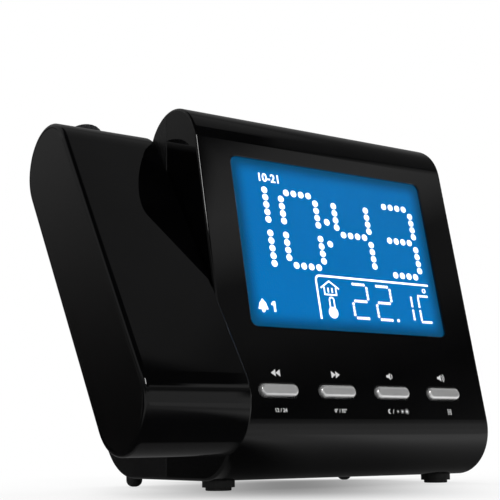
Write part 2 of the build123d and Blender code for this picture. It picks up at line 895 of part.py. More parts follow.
cell_top = cell_bottom + cell_height
with BuildPart() as cell_contacts:
    # a bent strip for each pole: it lies on the cell and on the bay's roof
    for middle in (-cell_radius / 2, cell_radius / 2):
        strip = Plane(origin=(bay_mid_x + middle, bay_mid_y, cell_top))
        extrude(panel(strip, contact_width, cell_radius), amount=contact_thickness)
        with BuildSketch(strip):
            with Locations((0, cell_radius / 2 - contact_thickness / 2)):
                Rectangle(contact_width, contact_thickness)
        extrude(amount=bay_ceiling - cell_top)
        extrude(
            panel(
                Plane(origin=(bay_mid_x + middle, bay_mid_y + cell_radius / 4, bay_ceiling)),
                contact_width,
                cell_radius / 2,
            ),
            amount=-contact_thickness,
        )
write_piece(cell_contacts, "cell_contacts")

# ------------------------------------------------------------------ feet

with BuildPart() as front_feet:
    extrude(
        discs(Plane.XY.offset(foot_height + foot_recess), front_foot_radius, front_foot_spots),
        amount=-(foot_height + foot_recess - front_foot_tread_height),
    )
    extrude(
        discs(Plane.XY.offset(front_foot_tread_height), front_foot_tread, front_foot_spots),
        amount=-front_foot_tread_height,
    )
    fillet(front_feet.edges().filter_by(GeomType.CIRCLE).group_by(Axis.Z)[0], front_foot_round)
write_piece(front_feet, "front_feet")

rear_foot_spots = [
    (body_mid + side * (body_width / 2 - rear_foot_inset), body_front + rear_foot_setback)
    for side in (-1, 1)
]
with BuildPart() as rear_feet:
    extrude(discs(Plane.XY, rear_foot_radius, rear_foot_spots), amount=foot_height + rear_radius / 2)
    add(body_outside.part, mode=Mode.SUBTRACT)
    fillet(rear_feet.edges().group_by(Axis.Z)[0], rear_foot_round)
write_piece(rear_feet, "rear_feet")

# ------------------------------------------------------------------ arm casing

lower_screw = arm_spot(-arm_centres / 2)
upper_screws = [arm_spot(arm_screw_height, side * arm_screw_spread) for side in (-1, 1)]
arm_screw_spots = [lower_screw, *upper_screws]
arm_screw_head = arm_wall / 2
spindle_screw_spots = [
    arm_spot(spindle_screw_circle * cos(radians(turn)), spindle_screw_circle * sin(radians(turn)))
    for turn in spindle_screw_turns
]

with BuildPart() as arm_shell:
    extrude(arm_side(arm_left), amount=arm_width)
    fillet(arm_shell.faces().filter_by(Axis.X).sort_by(Axis.X)[0].edges(), arm_rim_round)
    fillet(arm_shell.faces().filter_by(Axis.X).sort_by(Axis.X)[-1].edges(), arm_inner_round)
    extrude(arm_side(arm_left, arm_wall), amount=arm_width - arm_wall, mode=Mode.SUBTRACT)
    extrude(arm_side(arm_left, arm_rim), amount=cap_thickness, mode=Mode.SUBTRACT)
    # collar around the lens barrel, seat for the focus ring and their bore
    extrude(discs(tip.offset(-arm_wall), collar_radius), amount=-collar_length)
    extrude(
        discs(tip.offset(-focus_seat_depth), focus_ring_radius + slot_clearance),
        amount=trim,
        mode=Mode.SUBTRACT,
    )
    extrude(discs(tip, barrel_radius), amount=-(arm_wall + collar_length), mode=Mode.SUBTRACT)
    # holes in the inner side: the spindle, its screws and the casing screws
    inner_side = Plane.YZ.offset(arm_right)
    extrude(
        discs(inner_side, spindle_radius + fit, [(pivot_y, pivot_height)]),
        amount=-arm_wall,
        mode=Mode.SUBTRACT,
    )
    extrude(
        discs(inner_side, small_screw_radius, spindle_screw_spots), amount=-arm_wall, mode=Mode.SUBTRACT
    )
    extrude(
        discs(inner_side, small_screw_radius + push_clearance, arm_screw_spots),
        amount=-arm_wall,
        mode=Mode.SUBTRACT,
    )
    extrude(
        discs(inner_side, small_head_radius + push_clearance, arm_screw_spots),
        amount=-arm_screw_head,
        mode=Mode.SUBTRACT,
    )
write_piece(arm_shell, "arm_shell")

with BuildPart() as arm_end_cap:
    extrude(arm_side(arm_left, arm_rim + push_clearance), amount=cap_thickness)
    fillet(arm_end_cap.faces().filter_by(Axis.X).sort_by(Axis.X)[0].edges(), cap_edge)
    post_plane = Plane.YZ.offset(arm_left + cap_thickness)
    post_length = arm_width - arm_wall - cap_thickness
    extrude(discs(post_plane, arm_post_radius, arm_screw_spots), amount=post_length)
    extrude(
        discs(Plane.YZ.offset(arm_inside_right), small_screw_radius, arm_screw_spots),
        amount=-2 * small_screw_bite,
        mode=Mode.SUBTRACT,
    )
write_piece(arm_end_cap, "arm_end_cap")

with BuildPart() as arm_screws:
    seat_plane = Plane.YZ.offset(arm_right - arm_screw_head)
    extrude(discs(seat_plane, small_head_radius, arm_screw_spots), amount=arm_screw_head - running)
    extrude(
        discs(seat_plane, small_screw_radius, arm_screw_spots),
        amount=-(arm_wall - arm_screw_head + 2 * small_screw_bite - running),
    )
write_piece(arm_screws, "arm_screws")

# ------------------------------------------------------------------ arm hinge

hinge = Plane(origin=(body_left, pivot_y, pivot_height), x_dir=(0, 1, 0), z_dir=(1, 0, 0))
bush_end = hinge_boss_length + bush_flange
washer_start = bush_end + fit
retainer_start = washer_start + washer_thickness
spindle_end = retainer_start + retainer_thickness + spindle_tail

with BuildPart() as hinge_bush:
    extrude(washer(hinge, bush_radius, spindle_radius + fit), amount=hinge_boss_length)
    extrude(
        washer(hinge.offset(hinge_boss_length), bush_flange_radius, spindle_radius + fit),
        amount=bush_flange,
    )
write_piece(hinge_bush, "hinge_bush")

spindle_seat = Plane(origin=(arm_inside_right, pivot_y, pivot_height), x_dir=(0, 1, 0), z_dir=(1, 0, 0))
with BuildPart() as hinge_spindle:
    extrude(discs(spindle_seat, spindle_flange_radius), amount=-spindle_flange)
    extrude(discs(spindle_seat, spindle_radius), amount=arm_wall + arm_gap + spindle_end)
    extrude(
        discs(spindle_seat.offset(-spindle_flange), spindle_bore),
        amount=spindle_flange + arm_wall + arm_gap + spindle_end,
        mode=Mode.SUBTRACT,
    )
    extrude(
        discs(Plane.YZ.offset(arm_inside_right), small_screw_radius + push_clearance, spindle_screw_spots),
        amount=-spindle_flange,
        mode=Mode.SUBTRACT,
    )
write_piece(hinge_spindle, "hinge_spindle")

with BuildPart() as spindle_screws:
    flange_face = Plane.YZ.offset(arm_inside_right - spindle_flange)
    extrude(discs(flange_face, small_head_radius, spindle_screw_spots), amount=-small_head_height)
    extrude(
        discs(flange_face, small_screw_radius, spindle_screw_spots),
        amount=spindle_flange + arm_wall - running,
    )
write_piece(spindle_screws, "spindle_screws")

with BuildPart() as friction_washer:
    extrude(
        washer(hinge.offset(washer_start), retainer_radius, spindle_radius + fit),
        amount=washer_thickness,
    )
write_piece(friction_washer, "friction_washer")

with BuildPart() as hinge_retainer:
    extrude(
        washer(hinge.offset(retainer_start), retainer_radius, spindle_radius),
        amount=retainer_thickness,
    )
    chamfer(hinge_retainer.edges().filter_by(GeomType.CIRCLE).group_by(Axis.X)[-1], retainer_edge)
write_piece(hinge_retainer, "hinge_retainer")

# ------------------------------------------------------------------ projector optics

barrel_bore = barrel_radius - barrel_wall
objective_radius = barrel_bore - fit
objective_bore = objective_radius - objective_wall
objective_top = focus_ring_proud - focus_margin - focus_travel

with BuildPart() as focus_ring:
    ring_bottom = tip.offset(-focus_seat_depth + running)
    extrude(
        washer(ring_bottom, focus_ring_radius, barrel_bore),
        amount=focus_seat_depth - running + focus_ring_proud,
    )
    chamfer(focus_ring.faces().sort_by(tip_axis)[-1].edges(), focus_ring_edge)
    # grip grooves around the part that stands above the arm
    with BuildSketch(tip.offset(focus_ring_edge)):
        with PolarLocations(focus_ring_radius, focus_grooves):
            Circle(focus_groove_radius)
    extrude(amount=focus_ring_proud, mode=Mode.SUBTRACT)
write_piece(focus_ring, "focus_ring")

with BuildPart() as lens_barrel:
    extrude(washer(tip.offset(-focus_seat_depth), barrel_radius, barrel_bore), amount=-barrel_length)
write_piece(lens_barrel, "lens_barrel")

with BuildPart() as objective_cell:
    extrude(washer(tip.offset(objective_top), objective_radius, objective_bore), amount=-objective_length)
    # ledge that the lens rests on
    lens_ledge = tip.offset(objective_top - objective_lens_dome - objective_lens_rim)
    extrude(washer(lens_ledge, objective_radius, objective_bore - objective_wall), amount=-objective_wall)
write_piece(objective_cell, "objective_cell")


def domed_lens(seat, radius, rim, dome):
    """Half section of a plano-convex lens that stands on a seat."""
    with BuildSketch(turning(seat)) as half:
        with BuildLine():
            Polyline((0, rim + dome), (0, 0), (radius, 0), (radius, rim))
            RadiusArc((radius, rim), (0, rim + dome), -(radius**2 + dome**2) / (2 * dome))
        make_face()
    return half.sketch


with BuildPart() as objective_lens:
    revolve(
        domed_lens(lens_ledge, objective_bore, objective_lens_rim, objective_lens_dome),
        axis=tip_axis,
    )
write_piece(objective_lens, "objective_lens")

housing_plane = tip.offset(-housing_top)
slide_top = housing_top + housing_socket + housing_stop
with BuildPart() as optic_housing:
    housing_right = arm_inside_right - arm_mid
    with BuildSketch(housing_plane):
        with Locations(((housing_right - housing_side / 2) / 2, 0)):
            Rectangle(housing_right + housing_side / 2, housing_depth)
    extrude(amount=-housing_length)
    extrude(discs(housing_plane, barrel_radius), amount=-housing_socket, mode=Mode.SUBTRACT)
    extrude(discs(housing_plane, barrel_bore), amount=-housing_length, mode=Mode.SUBTRACT)
    extrude(
        discs(tip.offset(-slide_top), housing_bore),
        amount=-(housing_top + housing_length - slide_top),
        mode=Mode.SUBTRACT,
    )
write_piece(optic_housing, "optic_housing")

with BuildPart() as time_slide:
    extrude(discs(tip.offset(-slide_top), housing_bore - fit), amount=-slide_thickness)
write_piece(time_slide, "time_slide")

spacer_top = slide_top + slide_thickness
with BuildPart() as lens_spacer:
    extrude(
        washer(tip.offset(-spacer_top), housing_bore - fit, housing_bore - spacer_wall),
        amount=-(spacer_length + condenser_dome),
    )
write_piece(lens_spacer, "lens_spacer")

condenser_seat = tip.offset(-(spacer_top + spacer_length + condenser_dome + condenser_rim))
with BuildPart() as condenser_lens:
    extrude(discs(condenser_seat, housing_bore - fit), amount=condenser_rim)
    revolve(
        domed_lens(condenser_seat, housing_bore - spacer_wall - fit, condenser_rim, condenser_dome),
        axis=tip_axis,
    )
write_piece(condenser_lens, "condenser_lens")

lamp_plane = tip.offset(-(housing_top + housing_length))
with BuildPart() as projector_board:
    extrude(panel(lamp_plane, housing_side, housing_depth), amount=-board_thickness)
write_piece(projector_board, "projector_board")

with BuildPart() as projector_lamp:
    extrude(discs(lamp_plane, lamp_base), amount=lamp_base_height)
    revolve(
        domed_lens(lamp_plane.offset(lamp_base_height), lamp_radius, fit, lamp_radius),
        axis=tip_axis,
    )
write_piece(projector_lamp, "projector_lamp")

sink_plane = lamp_plane.offset(-board_thickness)
with BuildPart() as heat_sink:
    extrude(panel(sink_plane, heat_sink_side, heat_sink_side), amount=-heat_sink_base)
    fin_pitch = (heat_sink_side - heat_sink_fin) / (heat_sink_fins - 1)
    with BuildSketch(sink_plane.offset(-heat_sink_base)):
        with GridLocations(fin_pitch, 0, heat_sink_fins, 1):
            Rectangle(heat_sink_fin, heat_sink_side)
    extrude(amount=-heat_sink_fin_height)
write_piece(heat_sink, "heat_sink")
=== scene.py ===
"""Dresses the projection alarm clock: its finishes, display marks, key prints and studio.

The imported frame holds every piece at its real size. This script gives each one its
surface, adds the fine pieces that lie on them, and sets the camera and the light.
Places are in metres, in the frame's axes: X right, Y to the back, Z up. Marks and
prints are drawn in millimetres.
"""

import json
import logging
from dataclasses import dataclass, field
from enum import Enum
from functools import cached_property, reduce
from math import acos, atan2, cos, pi, radians, sin
from typing import Callable, Iterable, Union

import bmesh
import bpy
from mathutils import Matrix, Vector

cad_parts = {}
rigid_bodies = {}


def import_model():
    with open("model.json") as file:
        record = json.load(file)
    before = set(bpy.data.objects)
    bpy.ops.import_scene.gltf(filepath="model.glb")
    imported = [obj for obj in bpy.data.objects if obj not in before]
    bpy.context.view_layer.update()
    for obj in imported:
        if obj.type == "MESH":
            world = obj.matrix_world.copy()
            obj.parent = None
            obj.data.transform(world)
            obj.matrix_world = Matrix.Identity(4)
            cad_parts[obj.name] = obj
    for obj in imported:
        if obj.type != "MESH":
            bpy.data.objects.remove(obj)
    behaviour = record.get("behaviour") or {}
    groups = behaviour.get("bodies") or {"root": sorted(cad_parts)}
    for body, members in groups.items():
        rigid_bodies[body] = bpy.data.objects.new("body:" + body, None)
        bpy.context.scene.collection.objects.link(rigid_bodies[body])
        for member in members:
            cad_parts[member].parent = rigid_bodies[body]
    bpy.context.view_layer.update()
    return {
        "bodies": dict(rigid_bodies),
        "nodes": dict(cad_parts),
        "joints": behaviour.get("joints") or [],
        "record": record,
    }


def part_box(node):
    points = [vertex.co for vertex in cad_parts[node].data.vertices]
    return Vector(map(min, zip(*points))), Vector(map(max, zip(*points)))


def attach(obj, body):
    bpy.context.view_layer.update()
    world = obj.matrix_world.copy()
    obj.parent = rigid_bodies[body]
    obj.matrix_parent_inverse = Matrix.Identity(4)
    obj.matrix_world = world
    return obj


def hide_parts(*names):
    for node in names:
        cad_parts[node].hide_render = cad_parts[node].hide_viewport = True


LOG = logging.getLogger("projection_clock")
MM = 0.001
# a numeral's height as a share of its type size, and in millimetres how near two corners are one
# and how near a cut one stays
NUMERAL_SHARE = 0.70
WELD = 0.001
CUT = 0.0001

Node = bpy.types.Node
NodeTree = bpy.types.NodeTree
Socket = bpy.types.NodeSocket
Object = bpy.types.Object
Mesh = bmesh.types.BMesh
Triple = tuple[float, float, float]
Colour = Triple
Spot = tuple[float, float]
Value = Union[Socket, float, Colour]
Span = tuple[str, float, float]


def grey(level: float, blue: float = 0.0) -> Colour:
    """A grey whose blue is raised by a little."""
    return (level, level, level + blue)


# --- node trees ---


class Tree:
    """A thin wrapper that makes nodes and feeds their inputs."""

    def __init__(self, tree: NodeTree) -> None:
        """Wraps a material's, world's or group's node tree."""
        self.tree = tree

    def node(self, kind: str, *values: Value, **named: object) -> Node:
        """Makes a node and feeds its inputs.

        Args:
            kind: Its Blender type, without the usual ShaderNode in front.
            *values: What its first inputs get.
            **named: Its properties in lower case, and what other inputs get by name.

        Returns:
            The new node.
        """
        made = self.tree.nodes.new(kind if kind.startswith("NodeGroup") else f"ShaderNode{kind}")
        for name in [name for name in named if name.islower()]:
            setattr(made, name, named.pop(name))
        return self.wire(made, *values, **named)

    def feed(self, target: Socket, value: Value) -> None:
        """Links a socket to an input, or sets a plain value on it.

        Args:
            target: The input.
            value: A socket, a number or a colour.
        """
        if isinstance(value, Socket):
            self.tree.links.new(value, target)
        else:
            target.default_value = (*value, 1.0) if target.type == "RGBA" else value

    def wire(self, node: Node, *values: Value, **named: Value) -> Node:
        """Feeds a node's inputs.

        Args:
            node: The node.
            *values: What its first inputs get.
            **named: What inputs get by name, with underscores for its spaces.

        Returns:
            The same node.
        """
        for socket, value in zip(node.inputs, values):
            self.feed(socket, value)
        for name, value in named.items():
            self.feed(node.inputs[name.replace("_", " ")], value)
        return node

    def spot(self) -> Socket:
        """The place on the piece, in Object coordinates."""
        return self.node("TexCoord").outputs["Object"]

    def mapped(self, scale: Triple = (1.0, 1.0, 1.0), turn: Triple = (0.0, 0.0, 0.0)) -> Socket:
        """The place on the piece, stretched and turned."""
        return self.node("Mapping", Vector=self.spot(), Scale=scale, Rotation=turn).outputs[0]

    def axes(self, place: Socket) -> dict[str, Socket]:
        """A place's x, y and z."""
        return dict(zip("xyz", self.node("SeparateXYZ", place).outputs))

    def math(self, operation: str, *values: Value, clamp: bool = False) -> Socket:
        """The result of a Math node, kept between 0 and 1 if clamped."""
        return self.node("Math", *values, operation=operation, use_clamp=clamp).outputs[0]

    def product(self, *values: Value) -> Socket:
        """Multiplies any number of values."""
        return reduce(lambda first, second: self.math("MULTIPLY", first, second), values)

    def brightest(self, *values: Value) -> Socket:
        """The largest of any number of values."""
        return reduce(lambda first, second: self.math("MAXIMUM", first, second), values)

    def noise(self, coords: Socket, scale: Value, detail: float) -> Socket:
        """A noise value, with as many finer layers as its detail."""
        return self.node("TexNoise", Vector=coords, Scale=scale, Detail=detail).outputs[0]

    def remap(
        self, value: Value, low: Value, high: Value, to_low: float = 0.0, to_high: float = 1.0
    ) -> Socket:
        """Maps a value from a range, which may run downwards, to another one, smoothly and clamped."""
        ranges = (low, high, to_low, to_high)
        return self.node("MapRange", value, *ranges, interpolation_type="SMOOTHSTEP").outputs[0]

    def mix_shaders(self, mask: Value, first: Node, second: Node) -> Node:
        """Mixes two shaders: 0 gives the first one, 1 the second."""
        return self.node("MixShader", mask, first.outputs[0], second.outputs[0])

    def blend(self, mask: Value, first: Value, second: Value) -> Socket:
        """Mixes two colours.

        Args:
            mask: 0 gives the first colour, 1 the second.
            first: A colour or its socket.
            second: A colour or its socket.

        Returns:
            The mixed colour's socket.
        """
        made = self.node("Mix", mask, data_type="RGBA")
        self.feed(made.inputs[6], first)
        self.feed(made.inputs[7], second)
        return made.outputs[2]

    def bump(self, height: Socket, distance: float) -> Socket:
        """The normal of a height whose unit is a distance in metres."""
        return self.node("Bump", Strength=1.0, Distance=distance, Height=height).outputs[0]

    def use(self, group: NodeTree, **inputs: Value) -> bpy.types.NodeOutputs:
        """The outputs of a shared group, placed with its own values."""
        return self.node("Group", node_tree=group, **inputs).outputs


class Effects:
    """The node groups that several finishes share, each built at its first use."""

    def _start(
        self, name: str, inputs: dict[str, float], outputs: Iterable[str]
    ) -> tuple[Tree, bpy.types.NodeOutputs, Node]:
        """Starts a group with its sockets.

        Args:
            name: The group's name.
            inputs: Float inputs and their defaults.
            outputs: Names of the float outputs.

        Returns:
            The group's tree, the sockets of its inputs and its output node.
        """
        group = bpy.data.node_groups.new(name, "ShaderNodeTree")
        for label, value in inputs.items():
            socket = group.interface.new_socket(label, in_out="INPUT", socket_type="NodeSocketFloat")
            socket.default_value = value
        for label in outputs:
            group.interface.new_socket(label, in_out="OUTPUT", socket_type="NodeSocketFloat")
        tree = Tree(group)
        return tree, tree.node("NodeGroupInput").outputs, tree.node("NodeGroupOutput")

    @cached_property
    def grain(self) -> NodeTree:
        """Fine surface grain.

        Returns:
            The group: Height is for a bump, and Cloud is a slow drift for colour.
        """
        scales = {"Grain": 4000.0, "Drift": 60.0}
        tree, given, result = self._start("surface_grain", scales, ("Height", "Cloud"))
        spot = tree.spot()
        fine = tree.noise(spot, given["Grain"], 3.0)
        coarse = tree.noise(spot, tree.product(given["Grain"], 0.23), 1.0)
        height = tree.math("ADD", tree.product(fine, 0.6), tree.product(coarse, 0.4))
        cloud = tree.remap(tree.noise(spot, given["Drift"], 3.0), 0.35, 0.65)
        tree.wire(result, Height=height, Cloud=cloud)
        return tree.tree

    @cached_property
    def handling(self) -> NodeTree:
        """Traces of handling: wiped smears and settled dust.

        Returns:
            The group: Smear and Dust are both the strength given and the mask that comes out.
        """
        tree, given, result = self._start("handling", {"Smear": 1.0, "Dust": 1.0}, ("Smear", "Dust"))
        wiped = tree.mapped((1.0, 0.35, 0.35), (0.0, 0.4, 0.3))
        broad = tree.remap(tree.noise(wiped, 34.0, 4.0), 0.48, 0.72)
        spot = tree.spot()
        specks = tree.node("TexVoronoi", feature="F1", Scale=900.0, Vector=spot)
        speck = tree.remap(specks.outputs["Distance"], 0.02, 0.10, 1.0, 0.0)
        rare = tree.remap(tree.noise(spot, 300.0, 1.0), 0.60, 0.70)
        tree.wire(
            result, Smear=tree.product(broad, given["Smear"]), Dust=tree.product(speck, rare, given["Dust"])
        )
        return tree.tree

    @cached_property
    def brushing(self) -> NodeTree:
        """Fine parallel lines of rolled or brushed metal along X.

        Returns:
            The group, with the lines' scale as its input and their Height as its output.
        """
        tree, given, result = self._start("brushing", {"Lines": 9000.0}, ("Height",))
        tree.wire(result, Height=tree.noise(tree.mapped((0.02, 1.0, 1.0)), given["Lines"], 2.0))
        return tree.tree

    @cached_property
    def edge_fade(self) -> NodeTree:
        """How far a place on a tilted panel lies inside its border.

        The panel's plane leans back about X, so its height runs along (0, Lean Y, Lean Z).

        Returns:
            The group: Inside is 0 at the border and 1 beyond the fade.
        """
        border = {
            "Middle X": 0.0, "Middle Rise": 0.0, "Half Width": 0.04, "Half Height": 0.03,
            "Lean Y": 0.0, "Lean Z": 1.0, "Fade": 0.004,
        }
        tree, given, result = self._start("edge_fade", border, ("Inside",))
        axes = tree.axes(tree.spot())
        rise = tree.math("ADD", *(tree.product(axes[way], given[f"Lean {way.upper()}"]) for way in "yz"))
        names = ("Middle X", "Half Width"), ("Middle Rise", "Half Height")
        inside = []
        for place, (middle, half) in zip((axes["x"], rise), names):
            apart = tree.math("ABSOLUTE", tree.math("SUBTRACT", place, given[middle]))
            inside.append(tree.remap(tree.math("SUBTRACT", given[half], apart), 0.0, given["Fade"]))
        tree.wire(result, Inside=tree.product(*inside))
        return tree.tree


# --- finishes ---


class Surface(Tree):
    """A material's tree, with its shader and the groups that finishes share."""

    def __init__(self, material: bpy.types.Material, effects: Effects) -> None:
        """Starts at the material's own shader.

        Args:
            material: The material.
            effects: The shared node groups.
        """
        super().__init__(material.node_tree)
        self.shader = material.node_tree.nodes["Principled BSDF"]
        self.effects = effects


@dataclass(frozen=True)
class Finish:
    """A surface finish that makes one material.

    Attributes:
        name: The material's name.
        colour: Its main colour.
        second: The colour that it drifts to.
        roughness: Lowest and highest roughness.
    """

    name: str
    colour: Colour
    second: Colour
    roughness: tuple[float, float]

    def build(self, effects: Effects) -> bpy.types.Material:
        """Makes the material.

        Args:
            effects: The shared node groups.

        Returns:
            The finished material.
        """
        material = bpy.data.materials.new(self.name)
        material.use_nodes = True
        self.dress(Surface(material, effects))
        return material

    def dress(self, tree: Surface) -> None:
        """Wires the surface into the material's shader."""
        raise NotImplementedError


@dataclass(frozen=True)
class Moulding(Finish):
    """Moulded plastic or rubber.

    Attributes:
        grain: Scale of the grain.
        depth: Height of the grain in metres.
        ior: Index of refraction.
        smear: How much wiping shows in the gloss.
        dust: How much dust shows.
    """

    grain: float = 4000.0
    depth: float = 0.00001
    ior: float = 1.47
    smear: float = 0.5
    dust: float = 0.3

    def dress(self, tree: Surface) -> None:
        """Wires grain, drift, smears and dust into the shader.

        Args:
            tree: The material's tree.
        """
        surface = tree.use(tree.effects.grain, Grain=self.grain)
        traces = tree.use(tree.effects.handling, Smear=self.smear, Dust=self.dust)
        plain = tree.blend(surface["Cloud"], self.colour, self.second)
        dusty = tuple(min(1.0, level + 0.05) for level in self.second)
        worn = tree.math("ADD", traces["Smear"], traces["Dust"], clamp=True)
        tree.wire(
            tree.shader, Base_Color=tree.blend(traces["Dust"], plain, dusty), IOR=self.ior,
            Roughness=tree.remap(worn, 0.0, 1.0, *self.roughness),
            Normal=tree.bump(surface["Height"], self.depth),
        )


@dataclass(frozen=True)
class Metal(Finish):
    """Bare or plated metal.

    Attributes:
        lines: Scale of the brushing, or 0 for a cast or plated face.
        depth: Height of the brushing or grain in metres.
        metallic: 1 for metal, less for silver paint.
        smear: How much wiping shows in the gloss.
    """

    lines: float = 0.0
    depth: float = 0.000004
    metallic: float = 1.0
    smear: float = 1.0

    def dress(self, tree: Surface) -> None:
        """Wires tarnish, smears and brushing into the shader.

        Args:
            tree: The material's tree.
        """
        surface = tree.use(tree.effects.grain, Grain=5200.0, Drift=140.0)
        traces = tree.use(tree.effects.handling, Smear=self.smear, Dust=0.2)
        relief = tree.use(tree.effects.brushing, Lines=self.lines) if self.lines else surface
        tree.wire(
            tree.shader, Base_Color=tree.blend(surface["Cloud"], self.colour, self.second),
            Roughness=tree.remap(traces["Smear"], 0.0, 1.0, *self.roughness), Metallic=self.metallic,
            Normal=tree.bump(relief["Height"], self.depth),
        )


@dataclass(frozen=True)
class Clear(Finish):
    """Clear or tinted glass and acrylic.

    Attributes:
        ior: Index of refraction.
    """

    ior: float = 1.47

    def dress(self, tree: Surface) -> None:
        """Wires tint and wiping into a transmitting shader.

        Args:
            tree: The material's tree.
        """
        surface = tree.use(tree.effects.grain, Grain=300.0, Drift=40.0)
        traces = tree.use(tree.effects.handling, Smear=1.0, Dust=0.5)
        tree.wire(
            tree.shader, Base_Color=tree.blend(surface["Cloud"], self.colour, self.second), IOR=self.ior,
            Roughness=tree.remap(traces["Smear"], 0.0, 1.0, *self.roughness), Transmission_Weight=1.0,
        )


@dataclass(frozen=True)
class Lit(Finish):
    """A lit mark that shines evenly.

    Attributes:
        strength: How strongly it shines.
    """

    strength: float = 1.0

    def dress(self, tree: Surface) -> None:
        """Wires the light's slight unevenness into the shader.

        Args:
            tree: The material's tree.
        """
        surface = tree.use(tree.effects.grain, Grain=5000.0, Drift=400.0)
        glow = tree.blend(surface["Cloud"], self.colour, self.second)
        tree.wire(
            tree.shader, Emission_Color=glow, Emission_Strength=self.strength, Base_Color=glow,
            Roughness=tree.remap(surface["Height"], 0.3, 0.7, *self.roughness), Specular_IOR_Level=0.0,
        )


@dataclass(frozen=True)
class LitPanel(Finish):
    """The display's lit ground, which dims towards its border.

    Attributes:
        layout: The clock's planes, which give the panel's middle, size and lean.
        fade: Width of the dim border.
        unlit: Its colour without the light.
    """

    layout: "Layout"
    fade: float = 6.0 * MM
    unlit: Colour = (0.0, 0.004, 0.010)

    def dress(self, tree: Surface) -> None:
        """Wires the dimming border and the light's clouding into the shader.

        Args:
            tree: The material's tree.
        """
        middle, (width, height) = self.layout.pane_middle, self.layout.pane_size
        border = tree.use(
            tree.effects.edge_fade, Middle_X=middle.x, Middle_Rise=middle.dot(self.layout.up),
            Half_Width=width / 2, Half_Height=height / 2,
            Lean_Y=self.layout.up.y, Lean_Z=self.layout.up.z, Fade=self.fade,
        )
        surface = tree.use(tree.effects.grain, Grain=7000.0, Drift=22.0)
        lit = tree.math("SUBTRACT", border["Inside"], tree.product(surface["Cloud"], 0.10), clamp=True)
        tree.wire(
            tree.shader, Emission_Color=tree.blend(lit, self.second, self.colour), Emission_Strength=1.0,
            Base_Color=self.unlit, Specular_IOR_Level=0.0,
            Roughness=tree.remap(surface["Height"], 0.3, 0.7, *self.roughness),
        )


@dataclass(frozen=True)
class CircuitBoard(Finish):
    """Solder-masked board with copper tracks and pads under the mask.

    Attributes:
        track: Scale of the tracks.
    """

    track: float = 420.0

    def dress(self, tree: Surface) -> None:
        """Wires tracks, pads and the mask's gloss into the shader.

        Args:
            tree: The material's tree.
        """
        cells = tree.node(
            "TexVoronoi", feature="DISTANCE_TO_EDGE", Vector=tree.spot(), Scale=self.track, Randomness=0.35
        )
        tracks = tree.remap(cells.outputs["Distance"], 0.06, 0.10, 1.0, 0.0)
        surface = tree.use(tree.effects.grain, Grain=3000.0, Drift=80.0)
        mask = tree.blend(surface["Cloud"], self.colour, self.second)
        over_copper = tuple(min(1.0, 1.9 * level + 0.01) for level in self.colour)
        tree.wire(
            tree.shader, Base_Color=tree.blend(tracks, mask, over_copper), Normal=tree.bump(tracks, 0.00003),
            Roughness=tree.remap(surface["Cloud"], 0.0, 1.0, *self.roughness),
        )


@dataclass(frozen=True)
class PaperCone(Finish):
    """Pressed paper with short fibres."""

    def dress(self, tree: Surface) -> None:
        """Wires fibres into colour and bump.

        Args:
            tree: The material's tree.
        """
        fibre = tree.noise(tree.mapped((1.0, 0.2, 0.6)), 1800.0, 4.0)
        tree.wire(
            tree.shader, Base_Color=tree.blend(fibre, self.colour, self.second),
            Roughness=tree.remap(fibre, 0.3, 0.7, *self.roughness), Normal=tree.bump(fibre, 0.00008),
        )


# --- shapes ---


def finished(shape: Mesh, name: str) -> Object:
    """Turns a bmesh into an object at the origin.

    Args:
        shape: The bmesh, which is freed.
        name: The object's name.

    Returns:
        The linked object, with its faces outward and flatly shaded.
    """
    bmesh.ops.recalc_face_normals(shape, faces=shape.faces)
    for face in shape.faces:
        face.smooth = False
    mesh = bpy.data.meshes.new(name)
    shape.to_mesh(mesh)
    shape.free()
    made = bpy.data.objects.new(name, mesh)
    bpy.context.scene.collection.objects.link(made)
    return made


def thicken(shape: Mesh, faces: Iterable[bmesh.types.BMFace], reach: Vector) -> None:
    """Makes closed solids of flat faces.

    Args:
        shape: The bmesh.
        faces: Its flat faces.
        reach: From each face to its copy on the solid's other side.
    """
    copied = bmesh.ops.extrude_face_region(shape, geom=list(faces), use_keep_orig=True)
    corners = [item for item in copied["geom"] if isinstance(item, bmesh.types.BMVert)]
    bmesh.ops.translate(shape, verts=corners, vec=reach)


def plane_at(spot: Vector, across: Vector, up: Vector, out: Vector) -> Matrix:
    """The plane at a spot with its X, Y and Z directions."""
    return Matrix.Translation(spot) @ Matrix((across, up, out)).transposed().to_4x4()


def on_circle(x: float, y: float, radius: float, start: float, sweep: float, steps: int) -> list[Spot]:
    """Points along an arc about a middle, one more than its steps, from a start in radians from X."""
    turns = [start + sweep * step / steps for step in range(steps + 1)]
    return [(x + radius * cos(turn), y + radius * sin(turn)) for turn in turns]


